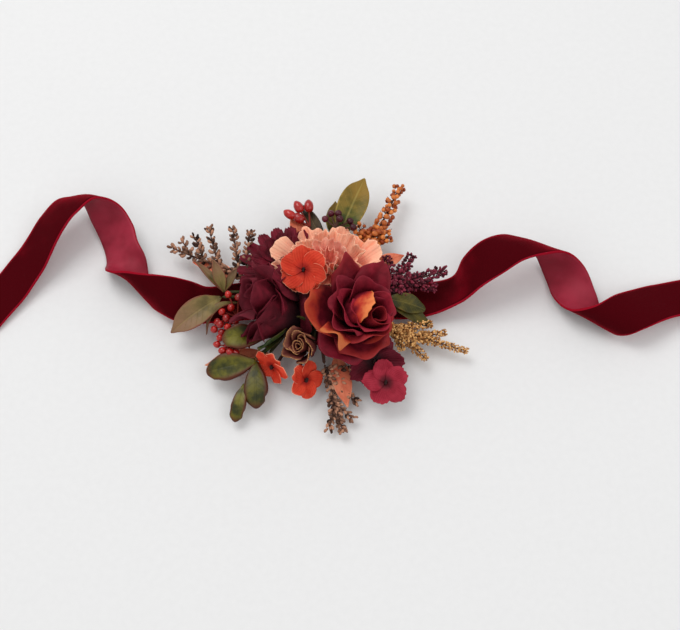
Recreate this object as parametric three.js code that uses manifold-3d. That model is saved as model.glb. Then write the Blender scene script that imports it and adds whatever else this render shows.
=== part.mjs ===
// A wrist corsage of fabric flowers: two felts hold a velvet ribbon between them, and a dome of
// hot glue on the upper felt holds the stems of the blooms, leaves, berries and dried sprigs.
// Millimetres. +X runs along the ribbon, +Y to the back, +Z up, and the origin is the middle of
// the underside of the backing felt, which rests on the wrist.
import * as THREE from 'three';
import { mergeVertices } from 'three/addons/utils/BufferGeometryUtils.js';
import Module from 'manifold-3d';

const wasm = await Module();
wasm.setup();

// Gap that is kept between any two pieces that lie against each other.
const CLEARANCE = 0.3;

const FELT = { length: 48, depth: 36, thickness: 1.2 };
const RIBBON = { width: 16, thickness: 0.8 };
// Free length past the felts' ends before the ribbon can bend.
const HINGE_MARGIN = 1.2;
const GLUE = { length: 40, depth: 29, height: 5.6 };
const SOCKET_DEPTH = 2.4;
// The whole spray of flowers above the upper felt; the places below are shares of half its
// length, half its depth and its height.
const SPRAY = { length: 114, depth: 100, height: 29 };

const PETAL_THICKNESS = 0.6;
const THIN_PETAL_THICKNESS = 0.5;
// Gap between a petal and the neighbour that it lies over in the same ring.
const PETAL_GAP = 0.4;
const HUB = { height: 1.1, overlap: 1.1 };
// Gap round the peg or stamen that passes through a punched ring.
const HOLE_GAP = 0.4;
const LEAF_THICKNESS = 0.7;
const SUCCULENT_THICKNESS = 2.2;
const STEM_RADIUS = 0.6;
const TWIG_RADIUS = 0.4;
const PEG_RADIUS = 0.9;
const STAMEN = { radius: 0.75, height: 2.2 };
const MERGE_DISTANCE = 1e-5;
const PUNCHED_ROWS = 2;

// Where a socket lies in the glue dome, how far up a bloom its stem starts, how far a leaf's
// stalk runs into its blade and how far a berry's twig runs before the berry swells.
const SOCKET_SHARE = 0.88;
const STEM_START_SHARE = 0.3;
const STALK_SHARE = 0.1;
const WOBBLE_SHARE = 0.04;
const BEAD_WOBBLE_SHARE = 0.15;

// Widths of a petal or leaf from its base to its tip, as shares of its full width.
const ROSE_PETAL_SHARES = [0.24, 0.8, 1.0, 0.5];
const RUFFLED_PETAL_SHARES = [0.2, 0.72, 1.0, 0.7];
const POINTED_PETAL_SHARES = [0.3, 0.9, 0.85, 0.1];
const LAUREL_SHARES = [0.1, 0.8, 1.0, 0.72, 0.06];
const NARROW_LEAF_SHARES = [0.2, 1.0, 0.8, 0.06];
const SUCCULENT_SHARES = [0.22, 0.84, 1.0, 0.4];

// Half sections of turned bodies: each row is a share of the radius and of the height.
const CALYX_PROFILE_SHARES = [[0, 0], [0.3, 0], [0.55, 0.45], [1, 1], [0, 1]];
const BUD_PROFILE_SHARES = [[0, 0], [0.75, 0.02], [1, 0.3], [0.9, 0.65], [0.55, 1], [0, 0.86]];
const DOME_PROFILE_SHARES = [[0, 0], [1, 0], [0.95, 0.35], [0.75, 0.72], [0.4, 0.94], [0, 1]];
const BUTTON_PROFILE_SHARES = [[0, 0], [0.9, 0], [1, 0.5], [0.6, 0.95], [0, 1]];
// A berry on its twig: each row is a share of the way along it and of the berry's radius.
const BERRY_ROW_SHARES = [[0.7, 0.8], [0.8, 1], [0.92, 0.8], [1, 0.3]];

// Stacked heights of the felts, the ribbon and the glue dome.
const RIBBON_MIDDLE_Z = FELT.thickness + CLEARANCE + RIBBON.thickness / 2;
const BASE_FELT_Z = RIBBON_MIDDLE_Z + RIBBON.thickness / 2 + CLEARANCE;
const GLUE_Z = BASE_FELT_Z + FELT.thickness + CLEARANCE;
const HINGE_X = FELT.length / 2 + HINGE_MARGIN;

// Each station of a tail: its middle, as shares of the ribbon's width from the hinge line, then
// the compass bearing and the lean above the horizontal of the direction across the ribbon, in
// degrees, and the share of the width by which the velvet side bellies out there.
const RIGHT_TAIL_SHARES = [
  [0, 0, 0.119, 90, 0, 0],
  [0.55, 0, 0.131, 93, -3, 0],
  [1.11, 0.03, 0.188, 95, -18, 0.01],
  [1.61, 0.16, 0.344, 95, -25, 0.01],
  [1.96, 0.41, 0.75, 110, -15, 0.03],
  [2.39, 0.66, 1.031, 115, -5, 0.05],
  [2.89, 0.88, 1.094, 115, -20, 0.09],
  [3.42, 1, 0.938, 125, -35, 0.1],
  [3.89, 0.94, 0.625, 155, -45, 0.07],
  [4.21, 0.59, 0.344, 185, -35, 0.04],
  [4.42, 0.09, 0.219, 185, -5, 0.03],
  [4.64, -0.44, 0.281, 180, 30, 0.06],
  [5.02, -0.72, 0.531, 145, 45, 0.09],
  [5.58, -0.56, 0.625, 120, 10, 0.05],
  [6.08, -0.31, 0.469, 115, -5, 0.02],
  [6.58, -0.09, 0.281, 115, -10, 0],
  [7.11, 0.06, 0.206, 100, -15, 0],
  [7.74, 0.12, 0.138, 95, -8, 0],
  [8.46, 0.12, 0.062, 90, 0, 0],
  [9.24, 0.06, 0.05, 86, 0, 0],
  [10.08, -0.06, 0.138, 82, 2, 0],
  [10.93, -0.25, 0.188, 78, 3, 0],
  [11.77, -0.5, 0.1, 74, 0, 0],
  [12.61, -0.78, 0.044, 72, 0, 0],
  [13.46, -1.06, 0.044, 72, 0, 0],
];
const LEFT_TAIL_SHARES = [
  [0, 0, 0.119, -90, 0, 0],
  [-0.55, -0.09, 0.156, -80, 4, 0],
  [-1.11, -0.19, 0.25, -80, 5, 0],
  [-1.64, -0.22, 0.5, -95, -20, 0.04],
  [-2.17, -0.09, 0.594, -90, -50, 0.09],
  [-2.71, 0.16, 0.5, -45, -65, 0.09],
  [-3.02, 0.59, 0.375, 10, -30, 0.05],
  [-3.21, 1.12, 0.312, 20, 30, 0.02],
  [-3.39, 1.66, 0.331, 20, 34, 0.03],
  [-3.67, 2.12, 0.469, 10, 40, 0.07],
  [-4.08, 2.38, 0.781, -35, 50, 0.09],
  [-4.52, 2.12, 0.875, -50, 30, 0.06],
  [-4.89, 1.72, 0.75, -45, 25, 0.03],
  [-5.17, 1.28, 0.5, -45, 20, 0.01],
  [-5.46, 0.88, 0.287, -40, 15, 0],
  [-5.77, 0.44, 0.15, -40, 10, 0],
  [-6.11, 0, 0.1, -40, 5, 0],
  [-6.46, -0.44, 0.075, -40, 0, 0],
  [-6.86, -0.91, 0.05, -42, 0, 0],
  [-7.39, -1.44, 0.05, -46, 0, 0],
  [-7.99, -1.97, 0.113, -50, 0, 0],
  [-8.64, -2.47, 0.188, -54, 0, 0],
  [-9.33, -2.91, 0.15, -58, 0, 0],
  [-10.05, -3.28, 0.056, -62, 0, 0],
  [-10.8, -3.62, 0.044, -66, 0, 0],
];
const STEPS_PER_STATION = 2;
const RIBBON_STRIPS = 2;
// Share of a station's spacing over which the ribbon's heading is taken.
const HEADING_SHARE = 0.05;

const UP = new THREE.Vector3(0, 0, 1);
const WORLD = new THREE.Matrix4();

function vector(values) {
  return new THREE.Vector3(...values);
}

function radians(degrees) {
  return THREE.MathUtils.degToRad(degrees);
}

// A repeatable wobble between -1 and 1 that keeps petals and seeds from looking stamped.
function wobble(index, seed) {
  return Math.sin(12.9 * (index + 1) + 7.8 * seed);
}

// The share table's value at v, from 0 at the base to 1 at the tip.
function shareAt(shares, v) {
  const place = v * (shares.length - 1);
  const first = Math.min(Math.floor(place), shares.length - 2);
  return THREE.MathUtils.lerp(shares[first], shares[first + 1], place - first);
}

// A place in the spray, from shares of its half length, half depth and height.
function inSpray([x, y, z]) {
  return [(x * SPRAY.length) / 2, (y * SPRAY.depth) / 2, GLUE_Z + z * SPRAY.height];
}

// The end of a stem inside the glue dome, from shares of the dome's half length and half depth.
function inGlue([x, y]) {
  return [(x * GLUE.length) / 2, (y * GLUE.depth) / 2, GLUE_Z + SOCKET_DEPTH];
}

// The end of a stem that comes in over the dome's rim from a compass bearing.
function socket(bearing) {
  const angle = radians(bearing);
  return inGlue([SOCKET_SHARE * Math.cos(angle), SOCKET_SHARE * Math.sin(angle)]);
}

// Turns a closed geometry into a solid that can be joined and cut.
function solidOf(geometry) {
  const bare = geometry.clone();
  bare.deleteAttribute('normal');
  bare.deleteAttribute('uv');
  const merged = mergeVertices(bare, MERGE_DISTANCE);
  return new wasm.Manifold(new wasm.Mesh({
    numProp: 3,
    vertProperties: new Float32Array(merged.attributes.position.array),
    triVerts: new Uint32Array(merged.index.array),
  }));
}

// The largest connected body of a solid, so that a petal that a neighbour cuts through keeps
// its rooted side and loses the loose scrap.
function largestBody(solid) {
  const mesh = solid.getMesh();
  const corners = mesh.triVerts;
  const parent = Array.from({ length: mesh.numVert }, (_, index) => index);
  const rootOf = (index) => {
    let root = index;
    while (parent[root] !== root) {
      parent[root] = parent[parent[root]];
      root = parent[root];
    }
    return root;
  };
  for (let corner = 0; corner < corners.length; corner += 3) {
    const root = rootOf(corners[corner]);
    parent[rootOf(corners[corner + 1])] = root;
    parent[rootOf(corners[corner + 2])] = root;
  }
  const point = (index) => new THREE.Vector3().fromArray(mesh.vertProperties, index * mesh.numProp);
  const bodies = new Map();
  for (let corner = 0; corner < corners.length; corner += 3) {
    const root = rootOf(corners[corner]);
    const body = bodies.get(root) ?? { volume: 0, points: [] };
    const [a, b, c] = [0, 1, 2].map((step) => point(corners[corner + step]));
    body.volume += a.dot(b.clone().cross(c)) / 6;
    body.points.push(a, b, c);
    bodies.set(root, body);
  }
  const kept = [...bodies.values()].reduce((best, body) => (body.volume > best.volume ? body : best));
  return new THREE.BufferGeometry().setFromPoints(kept.points);
}

// A closed sheet: surface gives the point for u across (-1 to 1), v along (0 to 1) and an
// offset along the sheet's normal.
function sheet(across, along, thickness, surface, grow) {
  const box = new THREE.BoxGeometry(2, 1, 2, across, along, 1);
  const place = box.attributes.position;
  for (let index = 0; index < place.count; index += 1) {
    const offset = place.getZ(index) * (thickness / 2 + grow);
    const point = surface(place.getX(index), place.getY(index) + 0.5, offset);
    place.setXYZ(index, point.x, point.y, point.z);
  }
  return box;
}

// A point of a bowl turned about the bloom's axis, whose side starts at the slope pitch and
// bends by curl over the ring's length: run is the way up the side from the radius from, angle
// the place round the axis, and depth the distance inwards from the side.
function bowlPoint(ring, run, angle, depth) {
  const start = radians(ring.pitch);
  const bend = radians(ring.curl) / ring.length;
  const slope = start + bend * run;
  const radius = ring.from + (Math.sin(slope) - Math.sin(start)) / bend - depth * Math.sin(slope);
  const rise = (Math.cos(start) - Math.cos(slope)) / bend + depth * Math.cos(slope);
  return new THREE.Vector3(radius * Math.cos(angle), radius * Math.sin(angle), ring.height + rise);
}

// One petal of a ring, a patch of its bowl. Each petal winds inwards by one layer over the
// spacing of the ring, so that it lies over one neighbour and under the other.
function petal(ring, turn, length) {
  const spacing = (2 * Math.PI) / ring.turns.length;
  const layer = ring.thickness + PETAL_GAP;
  return (grow) => sheet(3, ring.shares.length - 1, ring.thickness, (u, v, offset) => {
    const run = v * (length + 2 * grow) - grow;
    const radius = bowlPoint(ring, run, 0, 0).x;
    const half = Math.min(((ring.width / 2) * shareAt(ring.shares, v) + grow) / radius, Math.PI);
    const swing = -u * half;
    return bowlPoint(ring, run, radians(turn) + swing, offset + (layer * swing) / spacing);
  }, grow);
}

// A ring of separate petals with a small wobble in their length, on the hub that holds them.
function petalRing(ring) {
  const petals = ring.turns.map((turn, index) => {
    const reach = (ring.reachShares?.[index] ?? 1) * (1 + WOBBLE_SHARE * wobble(index, ring.seed));
    return petal(ring, turn, ring.length * reach);
  });
  return [hub(ring.from + HUB.overlap, HUB.height, ring.height - HUB.height / 2), ...petals];
}

// A ring of petals punched from one sheet round a hole: the sheet's rim runs in to a notch
// between each two petals, and the whole is dished and waved.
function punchedRing(ring) {
  const { lobes, first, thickness, reachShares = [1] } = ring;
  const ruffle = ring.ruffle ?? 0;
  return (grow) => {
    const rows = Array.from({ length: PUNCHED_ROWS + 1 }, (_, index) => index / PUNCHED_ROWS);
    const lower = rows.map((v) => new THREE.Vector2(1 + v, -1));
    const upper = rows.map((v) => new THREE.Vector2(1 + v, 1)).reverse();
    const body = new THREE.LatheGeometry([...lower, ...upper, lower[0].clone()], lobes * ring.stepsPerLobe);
    const place = body.attributes.position;
    for (let index = 0; index < place.count; index += 1) {
      const spin = Math.atan2(place.getX(index), place.getZ(index));
      const angle = spin + radians(first);
      const v = Math.hypot(place.getX(index), place.getZ(index)) - 1;
      const phase = (lobes * spin) / (2 * Math.PI);
      const petalIndex = (Math.round(phase) + lobes) % reachShares.length;
      const lobe = Math.abs(Math.cos(Math.PI * phase)) ** ring.tipPower;
      const reach = ring.length * reachShares[petalIndex] * (1 - (1 - ring.notchShare) * (1 - lobe));
      const depth = Math.sign(place.getY(index)) * (thickness / 2 + grow)
        + ruffle * v * Math.cos(2 * lobes * angle);
      const point = bowlPoint(ring, v * (reach + 2 * grow) - grow, angle, depth);
      place.setXYZ(index, point.x, point.y, point.z);
    }
    return body;
  };
}

function evenTurns(count, first) {
  return Array.from({ length: count }, (_, index) => first + (360 / count) * index);
}

// A short disc on the bloom's axis that its ring of petals grows from.
function hub(radius, height, bottom) {
  return (grow) => {
    const disc = new THREE.CylinderGeometry(radius + grow, radius + grow, height + 2 * grow, 6);
    disc.rotateX(Math.PI / 2);
    disc.translate(0, 0, bottom + height / 2);
    return disc;
  };
}

// A closed turned body on the bloom's axis.
function turned(profileShares, radius, height, bottom, sides = 8) {
  return (grow) => {
    const profile = profileShares.map(([wide, high]) => new THREE.Vector2(
      wide === 0 ? 0 : wide * radius + grow,
      high * (height + 2 * grow) - grow,
    ));
    const body = new THREE.LatheGeometry(profile, sides);
    body.rotateX(Math.PI / 2);
    body.translate(0, 0, bottom);
    return body;
  };
}

// A rod between points, with a smooth bend at each inner one.
function rod(points, radius, sides = 4) {
  return (grow) => {
    const outline = new THREE.Shape();
    outline.absarc(0, 0, radius + grow, 0, 2 * Math.PI);
    const ends = points.map(vector);
    if (grow > 0) {
      ends[0].add(ends[0].clone().sub(ends[1]).setLength(grow));
      ends.at(-1).add(ends.at(-1).clone().sub(ends.at(-2)).setLength(grow));
    }
    const path = ends.length === 2 ? new THREE.LineCurve3(...ends) : new THREE.CatmullRomCurve3(ends);
    const steps = ends.length === 2 ? 1 : 2 * (ends.length - 1);
    return new THREE.ExtrudeGeometry(outline, {
      steps, bevelEnabled: false, curveSegments: sides / 2, extrudePath: path,
    });
  };
}

// A rod whose radius changes along its route: each row is a share of the way and a radius.
function beadedRod(points, rows, sides = 4) {
  const path = points.length === 2
    ? new THREE.LineCurve3(...points.map(vector)) : new THREE.CatmullRomCurve3(points.map(vector));
  return (grow) => {
    const body = new THREE.CylinderGeometry(1, 1, 1, sides, rows.length - 1);
    const place = body.attributes.position;
    for (let index = 0; index < place.count; index += 1) {
      const row = Math.round((place.getY(index) + 0.5) * (rows.length - 1));
      const [share, radius] = rows[row];
      const heading = path.getTangent(share);
      const side = new THREE.Vector3().crossVectors(heading, UP).normalize();
      const over = new THREE.Vector3().crossVectors(side, heading);
      const endways = (row === 0 ? -grow : 0) + (row === rows.length - 1 ? grow : 0);
      const point = path.getPoint(share)
        .addScaledVector(heading, endways)
        .addScaledVector(side, place.getX(index) * (radius + grow))
        .addScaledVector(over, place.getZ(index) * (radius + grow));
      place.setXYZ(index, point.x, point.y, point.z);
    }
    return body;
  };
}

// Rows for a beaded rod: a bare start, then dried buds one after another to the tip.
function budRows(buds) {
  const rows = [[0, TWIG_RADIUS]];
  const pitch = (1 - buds.startShare) / buds.count;
  for (let index = 0; index < buds.count; index += 1) {
    const start = buds.startShare + pitch * index;
    rows.push([start, TWIG_RADIUS]);
    rows.push([start + pitch / 2, buds.radius * (1 + BEAD_WOBBLE_SHARE * wobble(index, buds.seed))]);
  }
  rows.push([1, TWIG_RADIUS]);
  return rows;
}

// A leaf blade from its base to its tip, arched upwards by rise, folded along its middle and
// rolled about its length, in degrees.
function blade(leaf) {
  const { base, tip, width, rise, fold, roll, shares, thickness } = leaf;
  return (grow) => {
    const start = vector(base);
    const run = vector(tip).sub(start);
    const length = run.length();
    const along = run.clone().normalize();
    const level = new THREE.Vector3().crossVectors(along, UP).normalize();
    const lifted = new THREE.Vector3().crossVectors(level, along);
    const side = level.clone().applyAxisAngle(along, radians(roll));
    const face = lifted.clone().applyAxisAngle(along, radians(roll));
    return sheet(2, shares.length - 1, thickness, (u, v, offset) => {
      const half = (width / 2) * shareAt(shares, v) + grow;
      const slope = (Math.PI * rise * Math.cos(Math.PI * v)) / length;
      const normal = face.clone().addScaledVector(along, -slope).normalize();
      return start.clone()
        .addScaledVector(along, v * (length + 2 * grow) - grow)
        .addScaledVector(lifted, rise * Math.sin(Math.PI * v))
        .addScaledVector(side, u * half * Math.cos(radians(fold)))
        .addScaledVector(normal, Math.abs(u) * half * Math.sin(radians(fold)) + offset);
    }, grow);
  };
}

// A bloom's own frame: its axis leans towards the given direction.
function bloomFrame(at, axis) {
  const turn = new THREE.Quaternion().setFromUnitVectors(UP, vector(axis).normalize());
  return new THREE.Matrix4().compose(vector(at), turn, new THREE.Vector3(1, 1, 1));
}

// Places shapes that are given in a bloom's own frame.
function inFrame(frame, shapes) {
  return shapes.map((shape) => (grow) => shape(grow).applyMatrix4(frame));
}

// The pieces in the order in which they keep their shape: each is cut back by those before it.
const pieces = [];

function addPiece(name, finish, frame, shapes) {
  pieces.push({ name, finish, frame, shapes });
}

// A curve through a table's rows, taken at a place counted in rows.
function blend(values, place) {
  const first = Math.min(Math.floor(place), values.length - 2);
  const t = place - first;
  const [p0, p1, p2, p3] = [-1, 0, 1, 2].map(
    (step) => values[THREE.MathUtils.clamp(first + step, 0, values.length - 1)],
  );
  return new THREE.Vector3()
    .addScaledVector(p0, (-t + 2 * t * t - t * t * t) / 2)
    .addScaledVector(p1, (2 - 5 * t * t + 3 * t * t * t) / 2)
    .addScaledVector(p2, (t + 4 * t * t - 3 * t * t * t) / 2)
    .addScaledVector(p3, (t * t * t - t * t) / 2);
}

// The ribbon's surface along a tail whose hinge line is at hingeX.
function ribbonSurface(stationShares, hingeX) {
  const middles = stationShares.map(([x, y, z]) => new THREE.Vector3(
    hingeX + x * RIBBON.width,
    y * RIBBON.width,
    z * RIBBON.width,
  ));
  middles[0].z = RIBBON_MIDDLE_Z;
  const sides = stationShares.map((row) => new THREE.Vector3(
    Math.cos(radians(row[4])) * Math.cos(radians(row[3])),
    Math.cos(radians(row[4])) * Math.sin(radians(row[3])),
    Math.sin(radians(row[4])),
  ));
  const bellies = stationShares.map((row) => new THREE.Vector3(row[5] * RIBBON.width, 0, 0));
  const span = stationShares.length - 1;
  return (u, v, offset, halfWidth) => {
    const place = v * span;
    const side = blend(sides, place).normalize();
    const ahead = blend(middles, Math.min(place + HEADING_SHARE, span));
    const heading = ahead.sub(blend(middles, Math.max(place - HEADING_SHARE, 0))).normalize();
    const face = new THREE.Vector3().crossVectors(heading, side).normalize();
    return blend(middles, place)
      .addScaledVector(side, u * halfWidth)
      .addScaledVector(face, blend(bellies, place).x * (1 - u * u) + offset);
  };
}

function ribbonTail(stationShares, hingeX) {
  const surface = ribbonSurface(stationShares, hingeX);
  return (grow) => sheet(
    RIBBON_STRIPS,
    (stationShares.length - 1) * STEPS_PER_STATION,
    RIBBON.thickness,
    (u, v, offset) => surface(-u, v, offset, RIBBON.width / 2 + grow),
    grow,
  );
}

// An oval felt with its underside at the given height.
function felt(bottom) {
  return (grow) => {
    const outline = new THREE.Shape();
    outline.absellipse(0, 0, FELT.length / 2 + grow, FELT.depth / 2 + grow, 0, 2 * Math.PI);
    const body = new THREE.ExtrudeGeometry(outline, {
      depth: FELT.thickness + 2 * grow, bevelEnabled: false, curveSegments: 18,
    });
    body.translate(0, 0, bottom - grow);
    return body;
  };
}

// The stretch of ribbon between the felts, clear of the tails as they fold down.
function ribbonCentre(grow) {
  const middle = new THREE.BoxGeometry(
    2 * (HINGE_X - RIBBON.thickness / 2 - CLEARANCE + grow),
    RIBBON.width + 2 * grow,
    RIBBON.thickness + 2 * grow,
  );
  middle.translate(0, 0, RIBBON_MIDDLE_Z);
  return middle;
}

function addBase() {
  addPiece('backing_felt', 'felt', WORLD, [felt(0)]);
  addPiece('ribbon_tail_left', 'velvet', WORLD, [ribbonTail(LEFT_TAIL_SHARES, -HINGE_X)]);
  addPiece('ribbon_tail_right', 'velvet', WORLD, [ribbonTail(RIGHT_TAIL_SHARES, HINGE_X)]);
  addPiece('ribbon_centre', 'velvet', WORLD, [ribbonCentre]);
  addPiece('base_felt', 'felt', WORLD, [felt(BASE_FELT_Z)]);
}

const MAIN_ROSE = {
  name: 'main_rose', finish: 'rose',
  atShares: [0.22, -0.29, 0.31], axis: [0.24, -0.06, 1], footShares: [0.38, -0.38],
  calyx: { radius: 3.4, height: 4.5, peg: 8 },
  bud: { radius: 3.0, height: 12, bottom: 5.6 },
  rings: {
    inner_petals: {
      turns: [60, 180, 300], length: 14.5, width: 13, from: 3.2, height: 4.2, pitch: 66,
      curl: 20, seed: 3, shares: ROSE_PETAL_SHARES, thickness: PETAL_THICKNESS,
    },
    middle_petals: {
      turns: [20, 95, 165, 235, 305], length: 16.5, width: 17, from: 3.8, height: 2.4, pitch: 44,
      curl: 30, seed: 2, shares: ROSE_PETAL_SHARES, thickness: PETAL_THICKNESS,
    },
    outer_petals: {
      turns: [68, 112, 180, 220, 282, 336], reachShares: [1.0, 1.02, 1.04, 1.1, 0.8, 0.6],
      length: 17.5, width: 21, from: 5.0, height: 0.6, pitch: 24, curl: 26, seed: 1,
      shares: ROSE_PETAL_SHARES, thickness: PETAL_THICKNESS,
    },
  },
};

const PLUM_ROSE = {
  name: 'plum_rose', finish: 'plum',
  atShares: [-0.17, -0.2, 0.33], axis: [-1, 0.14, 0.5], footShares: [-0.42, -0.31],
  calyx: { radius: 3.0, height: 3.8, peg: 7 },
  bud: { radius: 2.9, height: 12, bottom: 5.4 },
  rings: {
    inner_petals: {
      turns: [330, 60, 150, 240], length: 15.5, width: 13, from: 3.4, height: 3.0, pitch: 62,
      curl: 28, seed: 5, shares: ROSE_PETAL_SHARES, thickness: PETAL_THICKNESS,
    },
    outer_petals: {
      turns: [350, 48, 108, 180, 240, 295], reachShares: [1.0, 0.95, 0.9, 0.6, 0.9, 1.0],
      length: 14.5, width: 17, from: 4.2, height: 0.6, pitch: 40, curl: 36, seed: 4,
      shares: ROSE_PETAL_SHARES, thickness: PETAL_THICKNESS,
    },
  },
};

const MINI_ROSE = {
  name: 'mini_rose', finish: 'mauve',
  atShares: [-0.08, -0.47, 0.29], axis: [-0.5, -0.36, 0.8], footShares: [-0.13, -0.55],
  calyx: { radius: 2.4, height: 3.0, peg: 3.5 },
  bud: { radius: 1.5, height: 5.4, bottom: 2.2 },
  rings: {
    petals: {
      turns: evenTurns(5, 10), length: 8.6, width: 8, from: 2.4, height: 0.5, pitch: 46, curl: 36,
      seed: 10, shares: RUFFLED_PETAL_SHARES, thickness: THIN_PETAL_THICKNESS,
    },
  },
};

const PEACH_BLOOM = {
  name: 'peach_bloom', finish: 'peach',
  atShares: [0.04, 0.12, 0.22], axis: [0.0, 0.16, 1], footShares: [0.08, 0.34],
  calyx: { radius: 3.2, height: 3.2, peg: 5 },
  heart: { radius: 3.4, height: 4.0, bottom: 3.6 },
  rings: {
    inner_petals: {
      lobes: 6, first: 38, reachShares: [1.0, 0.95, 1.0, 0.8, 0.75, 0.85],
      length: 16, from: PEG_RADIUS + HOLE_GAP, height: 2.2, pitch: 12, curl: 56,
      notchShare: 0.7, tipPower: 0.6, stepsPerLobe: 4, ruffle: 0.9, thickness: PETAL_THICKNESS,
    },
    outer_petals: {
      lobes: 7, first: 12, reachShares: [1.08, 0.88, 0.92, 1.08, 0.8, 0.7, 0.8],
      length: 20, from: PEG_RADIUS + HOLE_GAP, height: 0.4, pitch: 6, curl: 32,
      notchShare: 0.72, tipPower: 0.6, stepsPerLobe: 4, ruffle: 0.9, thickness: PETAL_THICKNESS,
    },
  },
};

const DAISY = {
  name: 'burgundy_daisy', finish: 'wine',
  atShares: [-0.22, 0.17, 0.24], axis: [-0.26, 0.28, 1], footShares: [-0.4, 0.31],
  calyx: { radius: 2.6, height: 3.2, peg: 4 },
  heart: { radius: 2.6, height: 3.0, bottom: 3.0 },
  rings: {
    inner_petals: {
      lobes: 9, first: 20, reachShares: [0.5, 0.8, 1, 1, 1, 1, 0.9, 0.55, 0.45],
      length: 12.5, from: PEG_RADIUS + HOLE_GAP, height: 1.9,
      pitch: 12, curl: 44, notchShare: 0.42, tipPower: 1, stepsPerLobe: 2, thickness: THIN_PETAL_THICKNESS,
    },
    outer_petals: {
      lobes: 12, first: 6, reachShares: [0.4, 0.55, 0.9, 1, 1, 1, 1, 1, 0.85, 0.6, 0.45, 0.4],
      length: 17, from: PEG_RADIUS + HOLE_GAP, height: 0.4,
      pitch: 6, curl: 26, notchShare: 0.42, tipPower: 1, stepsPerLobe: 2, thickness: THIN_PETAL_THICKNESS,
    },
  },
};

const BLOOMS = [MAIN_ROSE, PLUM_ROSE, MINI_ROSE, PEACH_BLOOM, DAISY];

// Small stamped blossoms, each with a stamen at its middle and a wire stem.
const BLOSSOMS = [
  {
    name: 'orange_blossom_top', finish: 'orange', atShares: [-0.11, -0.01, 0.82], axis: [-0.08, -0.34, 1],
    footShares: [-0.08, 0], lobes: 6, first: 35, length: 7.2,
  },
  {
    name: 'orange_blossom_low', finish: 'orange', atShares: [-0.1, -0.72, 0.2], axis: [0.6, -0.4, 0.62],
    bearing: 256, lobes: 5, first: 10, length: 6.0,
  },
  {
    name: 'orange_blossom_side', finish: 'orange', atShares: [-0.31, -0.61, 0.19], axis: [-0.6, -0.76, 0.25],
    bearing: 246, lobes: 5, first: 54, length: 6.2,
  },
  {
    name: 'burgundy_blossom_front', finish: 'wine', atShares: [0.41, -0.74, 0.19], axis: [0.1, -0.24, 1],
    bearing: 296, lobes: 5, first: 30, length: 7.0,
  },
  {
    name: 'burgundy_blossom_under', finish: 'wine', atShares: [0.34, -0.58, 0.22], axis: [0.05, -0.4, 1],
    bearing: 308, lobes: 5, first: 0, length: 8.6,
  },
];

const BLOSSOM_RING = {
  from: STAMEN.radius + HOLE_GAP, height: 0, pitch: 6, curl: 14, notchShare: 0.6, tipPower: 0.5,
  stepsPerLobe: 4, thickness: THIN_PETAL_THICKNESS,
};

// A calyx under a bloom, its peg up through the hubs, and its stem down into the glue.
function calyx(frame, size, foot) {
  const bottom = new THREE.Vector3(0, 0, -size.height * (1 - STEM_START_SHARE)).applyMatrix4(frame);
  return [
    ...inFrame(frame, [
      turned(CALYX_PROFILE_SHARES, size.radius, size.height, -size.height - CLEARANCE),
      rod([[0, 0, -size.height / 2], [0, 0, size.peg]], PEG_RADIUS),
    ]),
    rod([bottom.toArray(), foot], PEG_RADIUS),
  ];
}

// A blossom's stamen, which passes through its petals, and the wire under it.
function blossomStem(frame, foot) {
  const knob = turned(BUTTON_PROFILE_SHARES, STAMEN.radius, 2 * STAMEN.height, -STAMEN.height, 6);
  const inside = new THREE.Vector3(0, 0, -STAMEN.height / 2).applyMatrix4(frame);
  const under = new THREE.Vector3(0, 0, -2 * STAMEN.height).applyMatrix4(frame);
  return [...inFrame(frame, [knob]), rod([inside.toArray(), under.toArray(), foot], STEM_RADIUS)];
}

function addBlooms() {
  for (const bloom of BLOOMS) {
    const frame = bloomFrame(inSpray(bloom.atShares), bloom.axis);
    addPiece(`${bloom.name}_calyx`, 'stem', frame, calyx(frame, bloom.calyx, inGlue(bloom.footShares)));
  }
  for (const blossom of BLOSSOMS) {
    const frame = bloomFrame(inSpray(blossom.atShares), blossom.axis);
    const foot = blossom.footShares ? inGlue(blossom.footShares) : socket(blossom.bearing);
    addPiece(`${blossom.name}_stem`, 'stem', frame, blossomStem(frame, foot));
  }
  for (const bloom of BLOOMS) {
    const frame = bloomFrame(inSpray(bloom.atShares), bloom.axis);
    const part = bloom.bud ? 'bud' : 'heart';
    const profile = bloom.bud ? BUD_PROFILE_SHARES : BUTTON_PROFILE_SHARES;
    const { radius, height, bottom } = bloom[part];
    const middle = turned(profile, radius, height, bottom);
    addPiece(`${bloom.name}_${part}`, bloom.finish, frame, inFrame(frame, [middle]));
    for (const [ringName, ring] of Object.entries(bloom.rings)) {
      const shapes = ring.lobes ? [punchedRing(ring)] : petalRing(ring);
      addPiece(`${bloom.name}_${ringName}`, bloom.finish, frame, inFrame(frame, shapes));
    }
  }
  for (const blossom of BLOSSOMS) {
    const frame = bloomFrame(inSpray(blossom.atShares), blossom.axis);
    const petals = punchedRing({ ...BLOSSOM_RING, ...blossom });
    addPiece(`${blossom.name}_petals`, blossom.finish, frame, inFrame(frame, [petals]));
  }
}

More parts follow.
